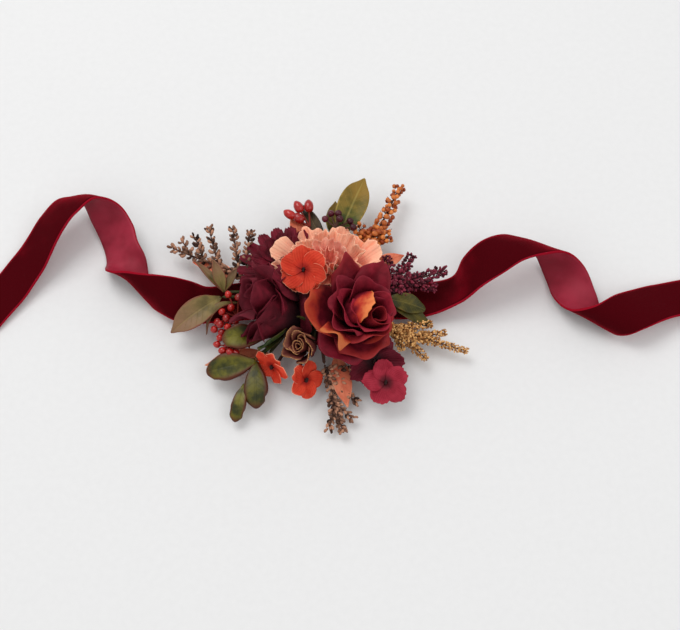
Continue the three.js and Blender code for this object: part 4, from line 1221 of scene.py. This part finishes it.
@dataclass(frozen=True)
class RibbonHalf:
    """One half of the ribbon, from its middle between the felts to its free end.

    Each station of the tail is its middle, in shares of the ribbon's width from the hinge line,
    then the bearing and the lean of the direction across the ribbon, and the share of the width
    by which the velvet side bellies out.
    """

    name: str
    side: int
    body: Body
    stations: tuple[Row, ...]
    replaces: tuple[str, ...]
    thickness: float = 0.8
    bend: Pair = (20.5, 30.0)
    edge_wave: float = 0.16

    def rows(self) -> tuple[list[Vector], list[Vector], list[float]]:
        """The middles, the directions across and the bellies, from the ribbon's middle outwards."""
        middles = [Vector((self.side * x, 0, RIBBON_Z)) for x in (0.0, HINGE_X / 3, HINGE_X * 2 / 3)]
        across = [Vector((0, self.side, 0))] * 3
        bellies = [0.0] * 3
        for x, y, z, bearing, lean, belly in self.stations:
            height = z * RIBBON_WIDTH if len(middles) > 3 else RIBBON_Z
            middles.append(Vector((self.side * HINGE_X + x * RIBBON_WIDTH, y * RIBBON_WIDTH, height)))
            flat, tilt = math.radians(bearing), math.radians(lean)
            level = math.cos(tilt)
            across.append(Vector((level * math.cos(flat), level * math.sin(flat), math.sin(tilt))))
            bellies.append(belly * RIBBON_WIDTH)
        return middles, across, bellies

    def build(self, bench: Workbench) -> None:
        """Makes the half."""
        middles, across, bellies = self.rows()
        span = len(middles) - 1

        def place(u: float, v: float) -> Vector:
            w = 1 - 2 * u
            at = v * span
            side = blend(across, at).normalized()
            face = heading(middles, at).cross(side).normalized()
            edge = self.edge_wave * smooth(at, 3.5, 6) * math.sin(11 * v * span / 3) * abs(w) ** 3
            belly = blend(bellies, at) * (1 - w * w)
            return blend(middles, at) + side * w * RIBBON_WIDTH / 2 + face * (belly + edge)

        clay = Clay()
        clay.patch(12, span * 9, place)
        piece = clay.cast(self.name)
        bench.paint(piece, VELVET, SATIN, VELVET)
        bench.thicken(piece, self.thickness, material_offset=1, material_offset_rim=2)
        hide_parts(*self.replaces)
        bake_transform(piece)


@dataclass(frozen=True)
class Base:
    """The two ovals of felt and the dome of glue between them and the flowers."""

    felts: tuple[tuple[str, float], ...] = (("backing_felt", 0.0), ("base_felt", BASE_FELT_Z))
    hole: float = 0.02
    fray: float = 0.004
    dome: Row = (1.0, 0.98, 0.95, 0.88, 0.75, 0.6, 0.4, 0.15)

    def build_felt(self, bench: Workbench, name: str, bottom: float) -> None:
        """Makes one oval, with a slightly uneven rim and its middle closed by one face."""
        clay = Clay()

        def place(u: float, v: float) -> Vector:
            angle = FULL_TURN * u
            out = self.hole + (1 - self.hole) * v + self.fray * v * math.sin(31 * angle)
            x, y = FELT[0] * out * math.cos(angle), FELT[1] * out * math.sin(angle)
            return Vector((x, y, bottom + FELT[2] / 2))

        clay.weld(clay.patch(96, 12, place))
        near = FELT[1] / 2 * MM
        rim = [edge for edge in clay.mesh.edges if edge.is_boundary and edge.verts[0].co.xy.length < near]
        bmesh.ops.holes_fill(clay.mesh, edges=rim)
        piece = clay.cast(f"felt_{name}")
        bench.paint(piece, FELT_CLOTH)
        bench.thicken(piece, FELT[2])
        bench.mount(piece, name)

    def build(self, bench: Workbench) -> None:
        """Makes the felts and the glue."""
        for name, bottom in self.felts:
            self.build_felt(bench, name, bottom)

        def drip(u: float, v: float) -> Vector:
            angle = FULL_TURN * u
            wide = blend(self.dome, v * (len(self.dome) - 1)) * smooth(v, 0.0, 0.02)
            wide *= (1 + 0.05 * crumple(math.cos(angle), v, 2, 0.5)) * (1 - smooth(v, 0.985, 1.0))
            x, y = GLUE[0] * wide * math.cos(angle), GLUE[1] * wide * math.sin(angle)
            return Vector((x, y, GLUE_Z + GLUE[2] * v))

        clay = Clay()
        clay.weld(clay.patch(48, 24, drip))
        piece = clay.cast("glue_dome", closed=True)
        bench.paint(piece, GLUE_WAX)
        bench.soften(piece)
        bench.mount(piece, "glue_bed")


def leaf(
    name: str, finish: LeafCloth, bearing: float, *blades: tuple, shares: Row = LAUREL,
    thickness: float = 0.5,
) -> LeafSpray:
    """A spray of leaves.

    Args:
        name: The node that it stands for.
        finish: The leaves' cloth.
        bearing: Where the wire comes in over the glue's rim.
        blades: The values of one blade each.
        shares: The blades' widths from base to tip.
        thickness: The blades' thickness, in mm.

    Returns:
        The spray.
    """
    return LeafSpray(name, finish, bearing, tuple(Blade(*row) for row in blades), shares, thickness)


def daisy_ring(name: str, bowl: Bowl, width: float, turns: range, seed: int, reach: Row) -> PetalRing:
    """A ring of the daisy's narrow petals."""
    return PetalRing(
        name, bowl, width, tuple(turns), seed, reach=reach, shares=LOBE, layer=0.6, crease=0.5, roll=0.4,
        fold=0.2, corner=0.05, nick=0.03,
    )


BLOOMS = (
    Bloom(
        "main_rose", ROSE, (0.22, -0.29, 0.31), (0.24, -0.06, 1), (0.38, -0.38), (3.4, 4.5, 8.0),
        (
            WoundCentre(
                "bud", 4.2, 13.4, 2.6, turns=1.4, flare=1.0, ruffle=0.05, blush=0.2, start=215, hollow=0.56,
            ),
            PetalRing(
                "folded_petal", Bowl(15.0, 8.0, 4.0, 80, 46), 15, (164,), 3, (1.2,), peak=(0.16,), fold=0.4,
                curl_back=1.0, nick=0.03, roll=0.3, offset=(-1.6, 1.4),
            ),
        ),
        (
            PetalRing(
                "inner_petals", Bowl(14.5, 3.4, 4.2, 66, 20), 13, (50, 190, 300), 3, (0.1,),
                (0.92, 0.8, 0.9), (1.1, 1.0, 1.1), fold=0.4, curl_back=1.0,
            ),
            PetalRing(
                "middle_petals", Bowl(16.5, 3.8, 2.4, 44, 30), 17, (15, 82, 150, 222, 300, 185), 2,
                (0.05, 0.05, 0.05, 0.1, 0.25, 0.05), (0.8, 0.95, 1.05, 1.06, 0.86, 0.88),
                (1.1, 1.1, 1.0, 1.0, 1.2, 1.1), (14, 10, 0, 0, 6, 14), fold=1.6, layer=1.5, roll=0.5,
                lip=(0.3, 0.6, 0.8, 0.6, 0.6, 0.6),
            ),
            PetalRing(
                "outer_petals", Bowl(17.5, 5.0, 0.6, 24, 26), 21, (72, 112, 180, 226, 282, 336, 242), 1,
                (0.1, 0.2, 0.75, 1.1, 0.3, 0.5, 0.0), (1.0, 1.02, 1.08, 1.2, 0.74, 0.5, 0.84),
                (0.66, 0.66, 1.05, 0.5, 1.1, 1.1, 1.0), (14, 8, 0, 20, 6, 16, -16),
                (0.26, 0.26, 0.12, 0.04, 0.04, 0.04, 0.04), fold=1.0, curl_back=4.0, nick=0.02, roll=0.4,
                lip=(0.4, 0.4, 0, 1.8, 0.6, 0.4, 0),
            ),
        ), lean=(0.4, -0.14), sepals=((124, 4), (184, -22)),
    ),
    Bloom(
        "plum_rose", PLUM, (-0.17, -0.2, 0.33), (-1.0, 0.14, 0.5), (-0.42, -0.31), (3.0, 3.8, 7.0),
        (WoundCentre("bud", 4.2, 18.0, 5.4, turns=1.5, hollow=0.5, flare=1.2),),
        (
            PetalRing(
                "inner_petals", Bowl(18.5, 3.4, 3.0, 62, 26), 14, (330, 60, 150, 240), 5, (0.2,),
                (1.04, 1.02, 0.96, 1.1), fold=1.8, curl_back=2.5, lip=(1.8, 1.4, 0.8, 1.8), corner=0.28,
            ),
            PetalRing(
                "outer_petals", Bowl(15.5, 4.2, 0.6, 42, 34), 16.5,
                (355, 48, 108, 180, 240, 306, 326, 262, 282, 20), 4, (0.2,),
                (0.84, 1.06, 1.0, 0.62, 1.1, 1.1, 0.5, 1.0, 1.0, 0.43),
                (0.85, 1.1, 1, 1, 1.1, 1.0, 1.5, 1.1, 1.2, 1.1), (10, 10, 0, 0, 4, 6, -60, 6, 18, -56),
                layer=1.4, fold=2.2, roll=0.6, curl_back=2.0, out=(0, 0, 0, 0, 0, 0, 0, 2.5, 4.0, 0),
                lip=(2.2, 1.0, 0.6, 0, 1.0, 2.4, 0, 1.0, 1.4, 0), corner=0.28,
            ),
        ), lean=(0.3, -0.1), sepals=((262, 2), (238, -8)),
    ),
    Bloom(
        "mini_rose", MAUVE, (-0.08, -0.47, 0.29), (-0.5, -0.36, 0.8), (-0.13, -0.55), (2.4, 3.0, 3.5),
        (WoundCentre("bud", 2.8, 6.6, 2.0, turns=2.2, ruffle=0.15, thickness=0.3, blush=1.0),),
        (
            PetalRing(
                "petals", Bowl(8.6, 2.4, 0.5, 46, 36), 10, (10, 82, 154, 226, 298, 46, 190), 10,
                (0.8, 0.6, 0.5, 0.7, 0.8, 1, 1), (1, 1, 1, 1, 1, 0.84, 0.84),
                tilt=(10, 12, 12, 6, 4, 22, 20), shares=RUFFLED_PETAL, layer=1.1, roll=0.6,
                crease=0.2, fold=0.6, nick=0.025,
            ),
        ),
    ),
    Bloom(
        "peach_bloom", PEACH, (0.04, 0.12, 0.22), (0.0, 0.16, 1), (0.08, 0.34), (3.2, 3.2, 5.0),
        (
            WoundCentre("heart", 3.6, 4.2, 3.4, turns=1.6, flare=2.4, ruffle=0.4, thickness=0.3),
            PunchedRing("crown", Bowl(11.5, 1.6, 4.0, 42, 34), 6, 10, 0.9, 3, ruffle=0.7, frill=0.8, seed=8),
            PunchedRing("tuft", Bowl(8.5, 1.4, 4.6, 58, 30), 5, 40, 0.9, 3, ruffle=0.8, frill=0.8, seed=9),
        ),
        (
            PunchedRing(
                "inner_petals", Bowl(16, 1.3, 2.2, 12, 56), 6, 38, 0.92, 3,
                (1.0, 0.95, 1.0, 0.8, 0.75, 0.85), ruffle=0.9, frill=0.9, steps=30, rows=16, seed=4,
            ),
            PunchedRing(
                "outer_petals", Bowl(20, 1.3, 0.4, 6, 32), 7, 12, 0.92, 3,
                (1.08, 0.88, 0.92, 1.08, 0.8, 0.7, 0.8), ruffle=0.9, frill=0.9, steps=30, rows=16, seed=5,
            ),
        ),
        PINK,
    ),
    Bloom(
        "burgundy_daisy", WINE, (-0.22, 0.17, 0.24), (-0.26, 0.28, 1), (-0.4, 0.31), (2.6, 3.2, 4.0),
        (TuftedCentre("heart", 2.6, 3.0, 3.0),),
        (
            daisy_ring(
                "inner_petals", Bowl(12.5, 1.3, 1.9, 12, 44), 4.8, range(20, 384, 26), 6,
                (0.5, 0.7, 0.87, 1, 1, 1, 1, 1, 1, 0.93, 0.76, 0.53, 0.46, 0.47),
            ),
            daisy_ring(
                "outer_petals", Bowl(17, 1.3, 0.4, 6, 26), 5.6, range(6, 366, 20), 7,
                (0.4, 0.5, 0.67, 0.9, 0.97, 1, 1, 1, 1, 1, 1, 0.95, 0.85, 0.68, 0.55, 0.45, 0.42, 0.4),
            ),
        ),
        Grain("wine_threads", "wine", "2c0a14", "6a2030", "8a4a48", roughness=0.8),
    ),
)

BLOSSOMS = (
    Blossom(
        "orange_blossom_top", ORANGE, (-0.11, -0.01, 0.82), (-0.08, -0.34, 1), 6, 35, 7.2,
        foot=(-0.08, 0), seed=1, layers=2, ragged=0.035,
    ),
    Blossom("orange_blossom_low", ORANGE, (-0.1, -0.72, 0.2), (0.6, -0.4, 0.62), 5, 10, 6.0, 256, seed=2),
    Blossom(
        "orange_blossom_side", ORANGE, (-0.31, -0.61, 0.19), (-0.6, -0.76, 0.25), 5, 54, 6.2, 246, seed=3,
    ),
    Blossom(
        "burgundy_blossom_front", BLOSSOM_WINE, (0.41, -0.74, 0.19), (0.1, -0.24, 1), 5, 30, 7.0, 296, seed=4,
        ragged=0.05,
    ),
    Blossom(
        "burgundy_blossom_under", BLOSSOM_DARK, (0.34, -0.58, 0.22), (0.05, -0.4, 1), 5, 0, 8.6, 308, seed=5,
        ragged=0.08, crumpled=1.6,
    ),
)

LEAVES = (
    leaf(
        "laurel_leaf_left", LAUREL_CLOTH, 184,
        ((-0.66, -0.05, 0.19), (-0.98, -0.33, 0.13), 10.5, 1.6, 12, -6), shares=BROADLEAF,
    ),
    leaf(
        "narrow_leaves_left", LAUREL_CLOTH, 174,
        ((-0.64, -0.01, 0.19), (-0.84, 0.24, 0.22), 3.6, 1.0, 30, 10),
        ((-0.64, -0.01, 0.19), (-0.72, 0.24, 0.29), 5.2, 1.2, 30),
        ((-0.64, -0.01, 0.19), (-0.55, 0.19, 0.24), 3.6, 1.0, 25), shares=NARROW_LEAF,
    ),
    leaf(
        "arched_leaf_left", LAUREL_CLOTH, 193,
        ((-0.55, -0.09, 0.16), (-0.75, -0.33, 0.07), 3.8, 3.0, 20, 30, 3.5), shares=NARROW_LEAF,
    ),
    leaf(
        "jade_leaf_upper", JADE_CLOTH, 215,
        ((-0.36, -0.38, 0.22), (-0.64, -0.41, 0.24), 9.2, 1.6, 6, -12), shares=SUCCULENT, thickness=1.9,
    ),
    leaf(
        "jade_sprig_lower", JADE_CLOTH, 230,
        ((-0.42, -0.56, 0.12), (-0.74, -0.63, 0.06), 10.0, 1.4, 6, -14),
        ((-0.42, -0.56, 0.11), (-0.41, -0.91, 0.04), 8.8, 1.2, 6, 10),
        ((-0.49, -0.72, 0.06), (-0.55, -1.0, -0.02), 5.4, 1.0), shares=SUCCULENT, thickness=1.9,
    ),
    leaf(
        "olive_leaf_back", OLIVE_CLOTH, 76,
        ((0.11, 0.46, 0.19), (0.29, 0.96, 0.26), 11.6, 1.6, 14, 18), shares=BROADLEAF,
    ),
    leaf(
        "olive_leaf_back_small", OLIVE_CLOTH, 84, ((0.08, 0.45, 0.13), (0.09, 0.79, 0.15), 7.4, 1.0, 10, 10),
    ),
    leaf("bronze_leaf_back", BRONZE_CLOTH, 92, ((0.02, 0.4, 0.16), (-0.14, 0.75, 0.19), 5.4, 1.2, 16, -10)),
    leaf(
        "olive_leaves_right", SHADE_CLOTH, 346,
        ((0.41, -0.07, 0.22), (0.68, -0.15, 0.16), 7.4, 1.4, 10, 6),
        ((0.41, -0.08, 0.21), (0.72, -0.27, 0.09), 5.6, 1.4, 10, -8), shares=SUCCULENT,
    ),
    leaf("coral_leaf_left", CORAL_CLOTH, 156, ((-0.54, 0.13, 0.11), (-0.87, 0.28, 0.08), 6.2, 0.8)),
    leaf("coral_leaf_back", CORAL_CLOTH, 115, ((-0.12, 0.38, 0.17), (-0.2, 0.67, 0.2), 6.4, 0.8)),
    leaf("coral_leaf_right", CORAL_CLOTH, 20, ((0.34, 0.21, 0.14), (0.55, 0.31, 0.16), 6.0, 0.8)),
    leaf("coral_leaf_low", CORAL_CLOTH, 278, ((0.09, -0.49, 0.11), (0.17, -0.9, 0.03), 7.6, 1.0)),
    leaf("coral_leaf_low_left", CORAL_CLOTH, 238, ((-0.34, -0.48, 0.06), (-0.76, -0.55, -0.03), 8.0, 0.6, 4)),
)

BERRIES = (
    BerrySpray(
        "red_berries_left", RED_BERRY, 203, 1.4, 1.0, (-0.55, -0.2, 0.14),
        (
            (-0.65, -0.18, 0.22), (-0.59, -0.15, 0.24), (-0.68, -0.25, 0.16), (-0.62, -0.24, 0.24),
            (-0.56, -0.26, 0.22), (-0.65, -0.33, 0.13), (-0.54, -0.08, 0.29), (-0.66, -0.28, 0.2),
            (-0.7, -0.3, 0.12), (-0.66, -0.37, 0.12), (-0.61, -0.3, 0.19), (-0.61, -0.05, 0.27),
        ),
    ),
    BerrySpray(
        "red_berries_low", RED_BERRY, 223, 1.3, 1.15, (-0.54, -0.45, 0.13),
        (
            (-0.68, -0.41, 0.08), (-0.64, -0.48, 0.16), (-0.59, -0.5, 0.2), (-0.55, -0.5, 0.17),
            (-0.61, -0.43, 0.1),
        ),
    ),
    BerrySpray(
        "red_buds_back", RED_BERRY, 105, 1.75, 1.5, (-0.08, 0.52, 0.27),
        ((-0.22, 0.62, 0.31), (-0.16, 0.68, 0.33), (-0.09, 0.69, 0.32), (-0.16, 0.59, 0.3)),
    ),
    BerrySpray(
        "maroon_berries_back", MAROON_BERRY, 62, 1.3, 1.0, (0.09, 0.5, 0.32),
        (
            (0.02, 0.57, 0.34), (0.06, 0.62, 0.33), (0.11, 0.61, 0.37), (0.12, 0.55, 0.41),
            (0.19, 0.55, 0.34), (0.21, 0.49, 0.36),
        ), BROWN_TWIG,
    ),
)

LOOPED = Buds(0.85, 2.4, 0.64, 42, 0.4, start=0.04, taper=0.2, around=2, bow=0.45)
HEATHER = Buds(0.56, 1.7, 0.68, 60, 2.6, start=0.0, taper=0.4, around=6)
SEEDS = Buds(0.5, 1.25, 0.56, 45, 2.1, start=0.0, taper=0.5, around=6)
DENSE_BERRIES = Buds(1.3, 2.2, 1.25, 72, 2.6, start=0.03, taper=0.35, around=4)

SPRIGS = (
    Sprig(
        "brown_heather_left", BROWN_BUD, BROWN_TWIG, 164,
        ((-0.47, 0.1, 0.19), (-0.72, 0.23, 0.16), (-1.01, 0.39, 0.11)),
        (
            ((-0.89, 0.32, 0.13), (-0.94, 0.43, 0.15)), ((-0.79, 0.27, 0.14), (-0.86, 0.47, 0.18)),
            ((-0.68, 0.21, 0.16), (-0.76, 0.53, 0.22)), ((-0.54, 0.14, 0.18), (-0.6, 0.52, 0.22)),
            ((-0.5, 0.11, 0.19), (-0.48, 0.5, 0.21)),
        ), LOOPED, 1,
    ),
    Sprig(
        "brown_heather_low", BROWN_BUD, BROWN_TWIG, 267,
        ((0.02, -0.58, 0.12), (0.08, -0.84, 0.03), (0.14, -1.07, -0.02)),
        (
            ((0.03, -0.62, 0.11), (0.31, -0.61, 0.07)), ((0.05, -0.71, 0.07), (0.23, -0.85, 0.02)),
            ((0.08, -0.85, 0.03), (0.2, -0.97, -0.02)), ((0.07, -0.8, 0.04), (0.05, -1.05, -0.02)),
            ((0.04, -0.66, 0.09), (0.16, -0.72, 0.06)),
        ), LOOPED, 2,
    ),
    Sprig(
        "orange_berry_spike", AMBER_BERRY, BROWN_TWIG, 42,
        ((0.29, 0.33, 0.14), (0.4, 0.58, 0.16), (0.53, 0.92, 0.15)),
        (
            ((0.32, 0.4, 0.14), (0.24, 0.57, 0.16)), ((0.34, 0.45, 0.15), (0.46, 0.48, 0.16)),
            ((0.31, 0.37, 0.14), (0.21, 0.46, 0.2)),
        ), DENSE_BERRIES, 3, thorns=3.4,
    ),
    Sprig(
        "purple_heather", PURPLE_BUD, BROWN_TWIG, 359,
        ((0.41, 0.01, 0.22), (0.61, 0.09, 0.2), (0.82, 0.18, 0.16)),
        (
            ((0.44, 0.02, 0.22), (0.43, 0.27, 0.22)), ((0.51, 0.05, 0.21), (0.6, 0.29, 0.22)),
            ((0.58, 0.08, 0.2), (0.75, 0.03, 0.16)), ((0.47, 0.04, 0.22), (0.55, -0.05, 0.21)),
        ), HEATHER, 4,
    ),
    Sprig(
        "gold_sprig", GOLD_SEED, BROWN_TWIG, 326,
        ((0.43, -0.3, 0.18), (0.67, -0.37, 0.1), (0.95, -0.45, 0.02)),
        (
            ((0.49, -0.32, 0.16), (0.72, -0.26, 0.15)), ((0.54, -0.34, 0.14), (0.68, -0.52, 0.04)),
            ((0.63, -0.36, 0.11), (0.81, -0.32, 0.1)), ((0.47, -0.31, 0.17), (0.52, -0.47, 0.13)),
        ), SEEDS, 5,
    ),
)

RIBBON = (
    RibbonHalf(
        "ribbon_right_half", 1, Body.RIGHT,
        (
            (0, 0, 0.119, 90, 0, 0), (0.55, 0, 0.131, 93, -3, 0), (1.11, 0.03, 0.188, 95, -18, 0.01),
            (1.61, 0.16, 0.344, 95, -25, 0.01), (1.96, 0.41, 0.75, 110, -15, 0.03),
            (2.39, 0.66, 1.031, 115, -5, 0.05), (2.89, 0.88, 1.094, 115, -20, 0.09),
            (3.42, 1, 0.938, 125, -35, 0.1), (3.89, 0.94, 0.625, 155, -45, 0.07),
            (4.21, 0.59, 0.344, 185, -35, 0.04), (4.42, 0.09, 0.219, 185, -5, 0.03),
            (4.64, -0.44, 0.281, 180, 30, 0.06), (5.02, -0.72, 0.531, 145, 45, 0.09),
            (5.58, -0.56, 0.625, 120, 10, 0.05), (6.08, -0.31, 0.469, 115, -5, 0.02),
            (6.58, -0.09, 0.281, 115, -10, 0), (7.11, 0.06, 0.206, 100, -15, 0),
            (7.74, 0.12, 0.138, 95, -8, 0), (8.46, 0.12, 0.062, 90, 0, 0), (9.24, 0.06, 0.05, 86, 0, 0),
            (10.08, -0.06, 0.138, 82, 2, 0), (10.93, -0.25, 0.188, 78, 3, 0), (11.77, -0.5, 0.1, 74, 0, 0),
            (12.61, -0.78, 0.044, 72, 0, 0), (13.46, -1.06, 0.044, 72, 0, 0),
        ), ("ribbon_tail_right", "ribbon_centre"),
    ),
    RibbonHalf(
        "ribbon_left_half", -1, Body.LEFT,
        (
            (0, 0, 0.119, -90, 0, 0), (-0.55, -0.09, 0.156, -80, 4, 0), (-1.11, -0.19, 0.25, -80, 5, 0),
            (-1.64, -0.22, 0.5, -95, -20, 0.04), (-2.17, -0.09, 0.594, -90, -50, 0.09),
            (-2.71, 0.16, 0.5, -45, -65, 0.09), (-3.02, 0.59, 0.375, 10, -30, 0.05),
            (-3.21, 1.12, 0.312, 20, 30, 0.02), (-3.39, 1.66, 0.331, 20, 34, 0.03),
            (-3.67, 2.12, 0.469, 10, 40, 0.07), (-4.08, 2.38, 0.781, -35, 50, 0.09),
            (-4.52, 2.12, 0.875, -50, 30, 0.06), (-4.89, 1.72, 0.75, -45, 25, 0.03),
            (-5.17, 1.28, 0.5, -45, 20, 0.01), (-5.46, 0.88, 0.287, -40, 15, 0),
            (-5.77, 0.44, 0.15, -40, 10, 0), (-6.11, 0, 0.1, -40, 5, 0), (-6.46, -0.44, 0.075, -40, 0, 0),
            (-6.86, -0.91, 0.05, -42, 0, 0), (-7.39, -1.44, 0.05, -46, 0, 0),
            (-7.99, -1.97, 0.113, -50, 0, 0), (-8.64, -2.47, 0.188, -54, 0, 0),
            (-9.33, -2.91, 0.15, -58, 0, 0), (-10.05, -3.28, 0.056, -62, 0, 0),
            (-10.8, -3.62, 0.044, -66, 0, 0),
        ), ("ribbon_tail_left",),
    ),
)


@dataclass(frozen=True)
class Studio:
    """A pale floor, soft light and the camera, in metres and watts."""

    floor: str = "ebebeb"
    floor_light: str = "e6e6e6"
    floor_size: float = 3.0
    floor_z: float = -0.0002
    camera_at: Triple = (0.00687, -0.20301, 0.42361)
    elevation: float = 65.0
    lens: float = 65.1
    sensor: float = 36.0
    nearest: float = 0.01
    lamps: tuple[tuple[str, Triple, float, float], ...] = (
        ("key_lamp", (-0.4, 0.45, 1.1), 0.7, 6.0),
        ("fill_lamp", (0.7, -0.4, 1.0), 0.8, 2.4),
    )
    sky: float = 0.65

    def place(self, name: str, data, at: Point = (0, 0, 0)) -> bpy.types.Object:
        """Puts a new object in the scene."""
        made = bpy.data.objects.new(name, data)
        made.location = at
        bpy.context.scene.collection.objects.link(made)
        return made

    def build_camera(self) -> None:
        """Makes the camera at the photo's angle."""
        lens = bpy.data.cameras.new("camera")
        lens.lens = self.lens
        lens.sensor_width = self.sensor
        lens.clip_start = self.nearest
        camera = self.place("camera", lens, self.camera_at)
        camera.rotation_euler = (math.radians(90 - self.elevation), 0, 0)
        bpy.context.scene.camera = camera

    def build_floor(self) -> None:
        """Makes the paper that the corsage lies on."""
        ground = bmesh.new()
        bmesh.ops.create_grid(ground, x_segments=1, y_segments=1, size=self.floor_size)
        for vertex in ground.verts:
            vertex.co.z = self.floor_z
        mesh = bpy.data.meshes.new("floor")
        ground.to_mesh(mesh)
        ground.free()
        floor = self.place("floor", mesh)
        paper = Bench("paper")
        grain = paper.mix(paper.noise(PAPER, 2), self.floor, self.floor_light)
        mesh.materials.append(paper.surface(Base_Color=grain, Roughness=0.9))

    def build(self) -> None:
        """Makes the camera, the floor, the lamps and the sky."""
        self.build_camera()
        self.build_floor()
        for name, at, size, power in self.lamps:
            light = bpy.data.lights.new(name, "AREA")
            light.size = size
            light.energy = power
            self.place(name, light, at).rotation_euler = (-Vector(at)).to_track_quat("-Z", "Y").to_euler()
        scene = bpy.context.scene
        scene.world = bpy.data.worlds.new("sky")
        scene.world.use_nodes = True
        sky = scene.world.node_tree.nodes["Background"]
        sky.inputs["Color"].default_value = (1, 1, 1, 1)
        sky.inputs["Strength"].default_value = self.sky
        scene.view_settings.view_transform = "Standard"


def main() -> None:
    """Builds the corsage from the felts outwards."""
    logging.basicConfig(level=logging.INFO, format="%(name)s: %(message)s")
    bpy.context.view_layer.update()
    Studio().build()
    bench = Workbench()
    Base().build(bench)
    for group in (RIBBON, BLOOMS, BLOSSOMS, LEAVES, BERRIES, SPRIGS):
        for part in group:
            part.build(bench)


if __name__ == "__main__":
    main()
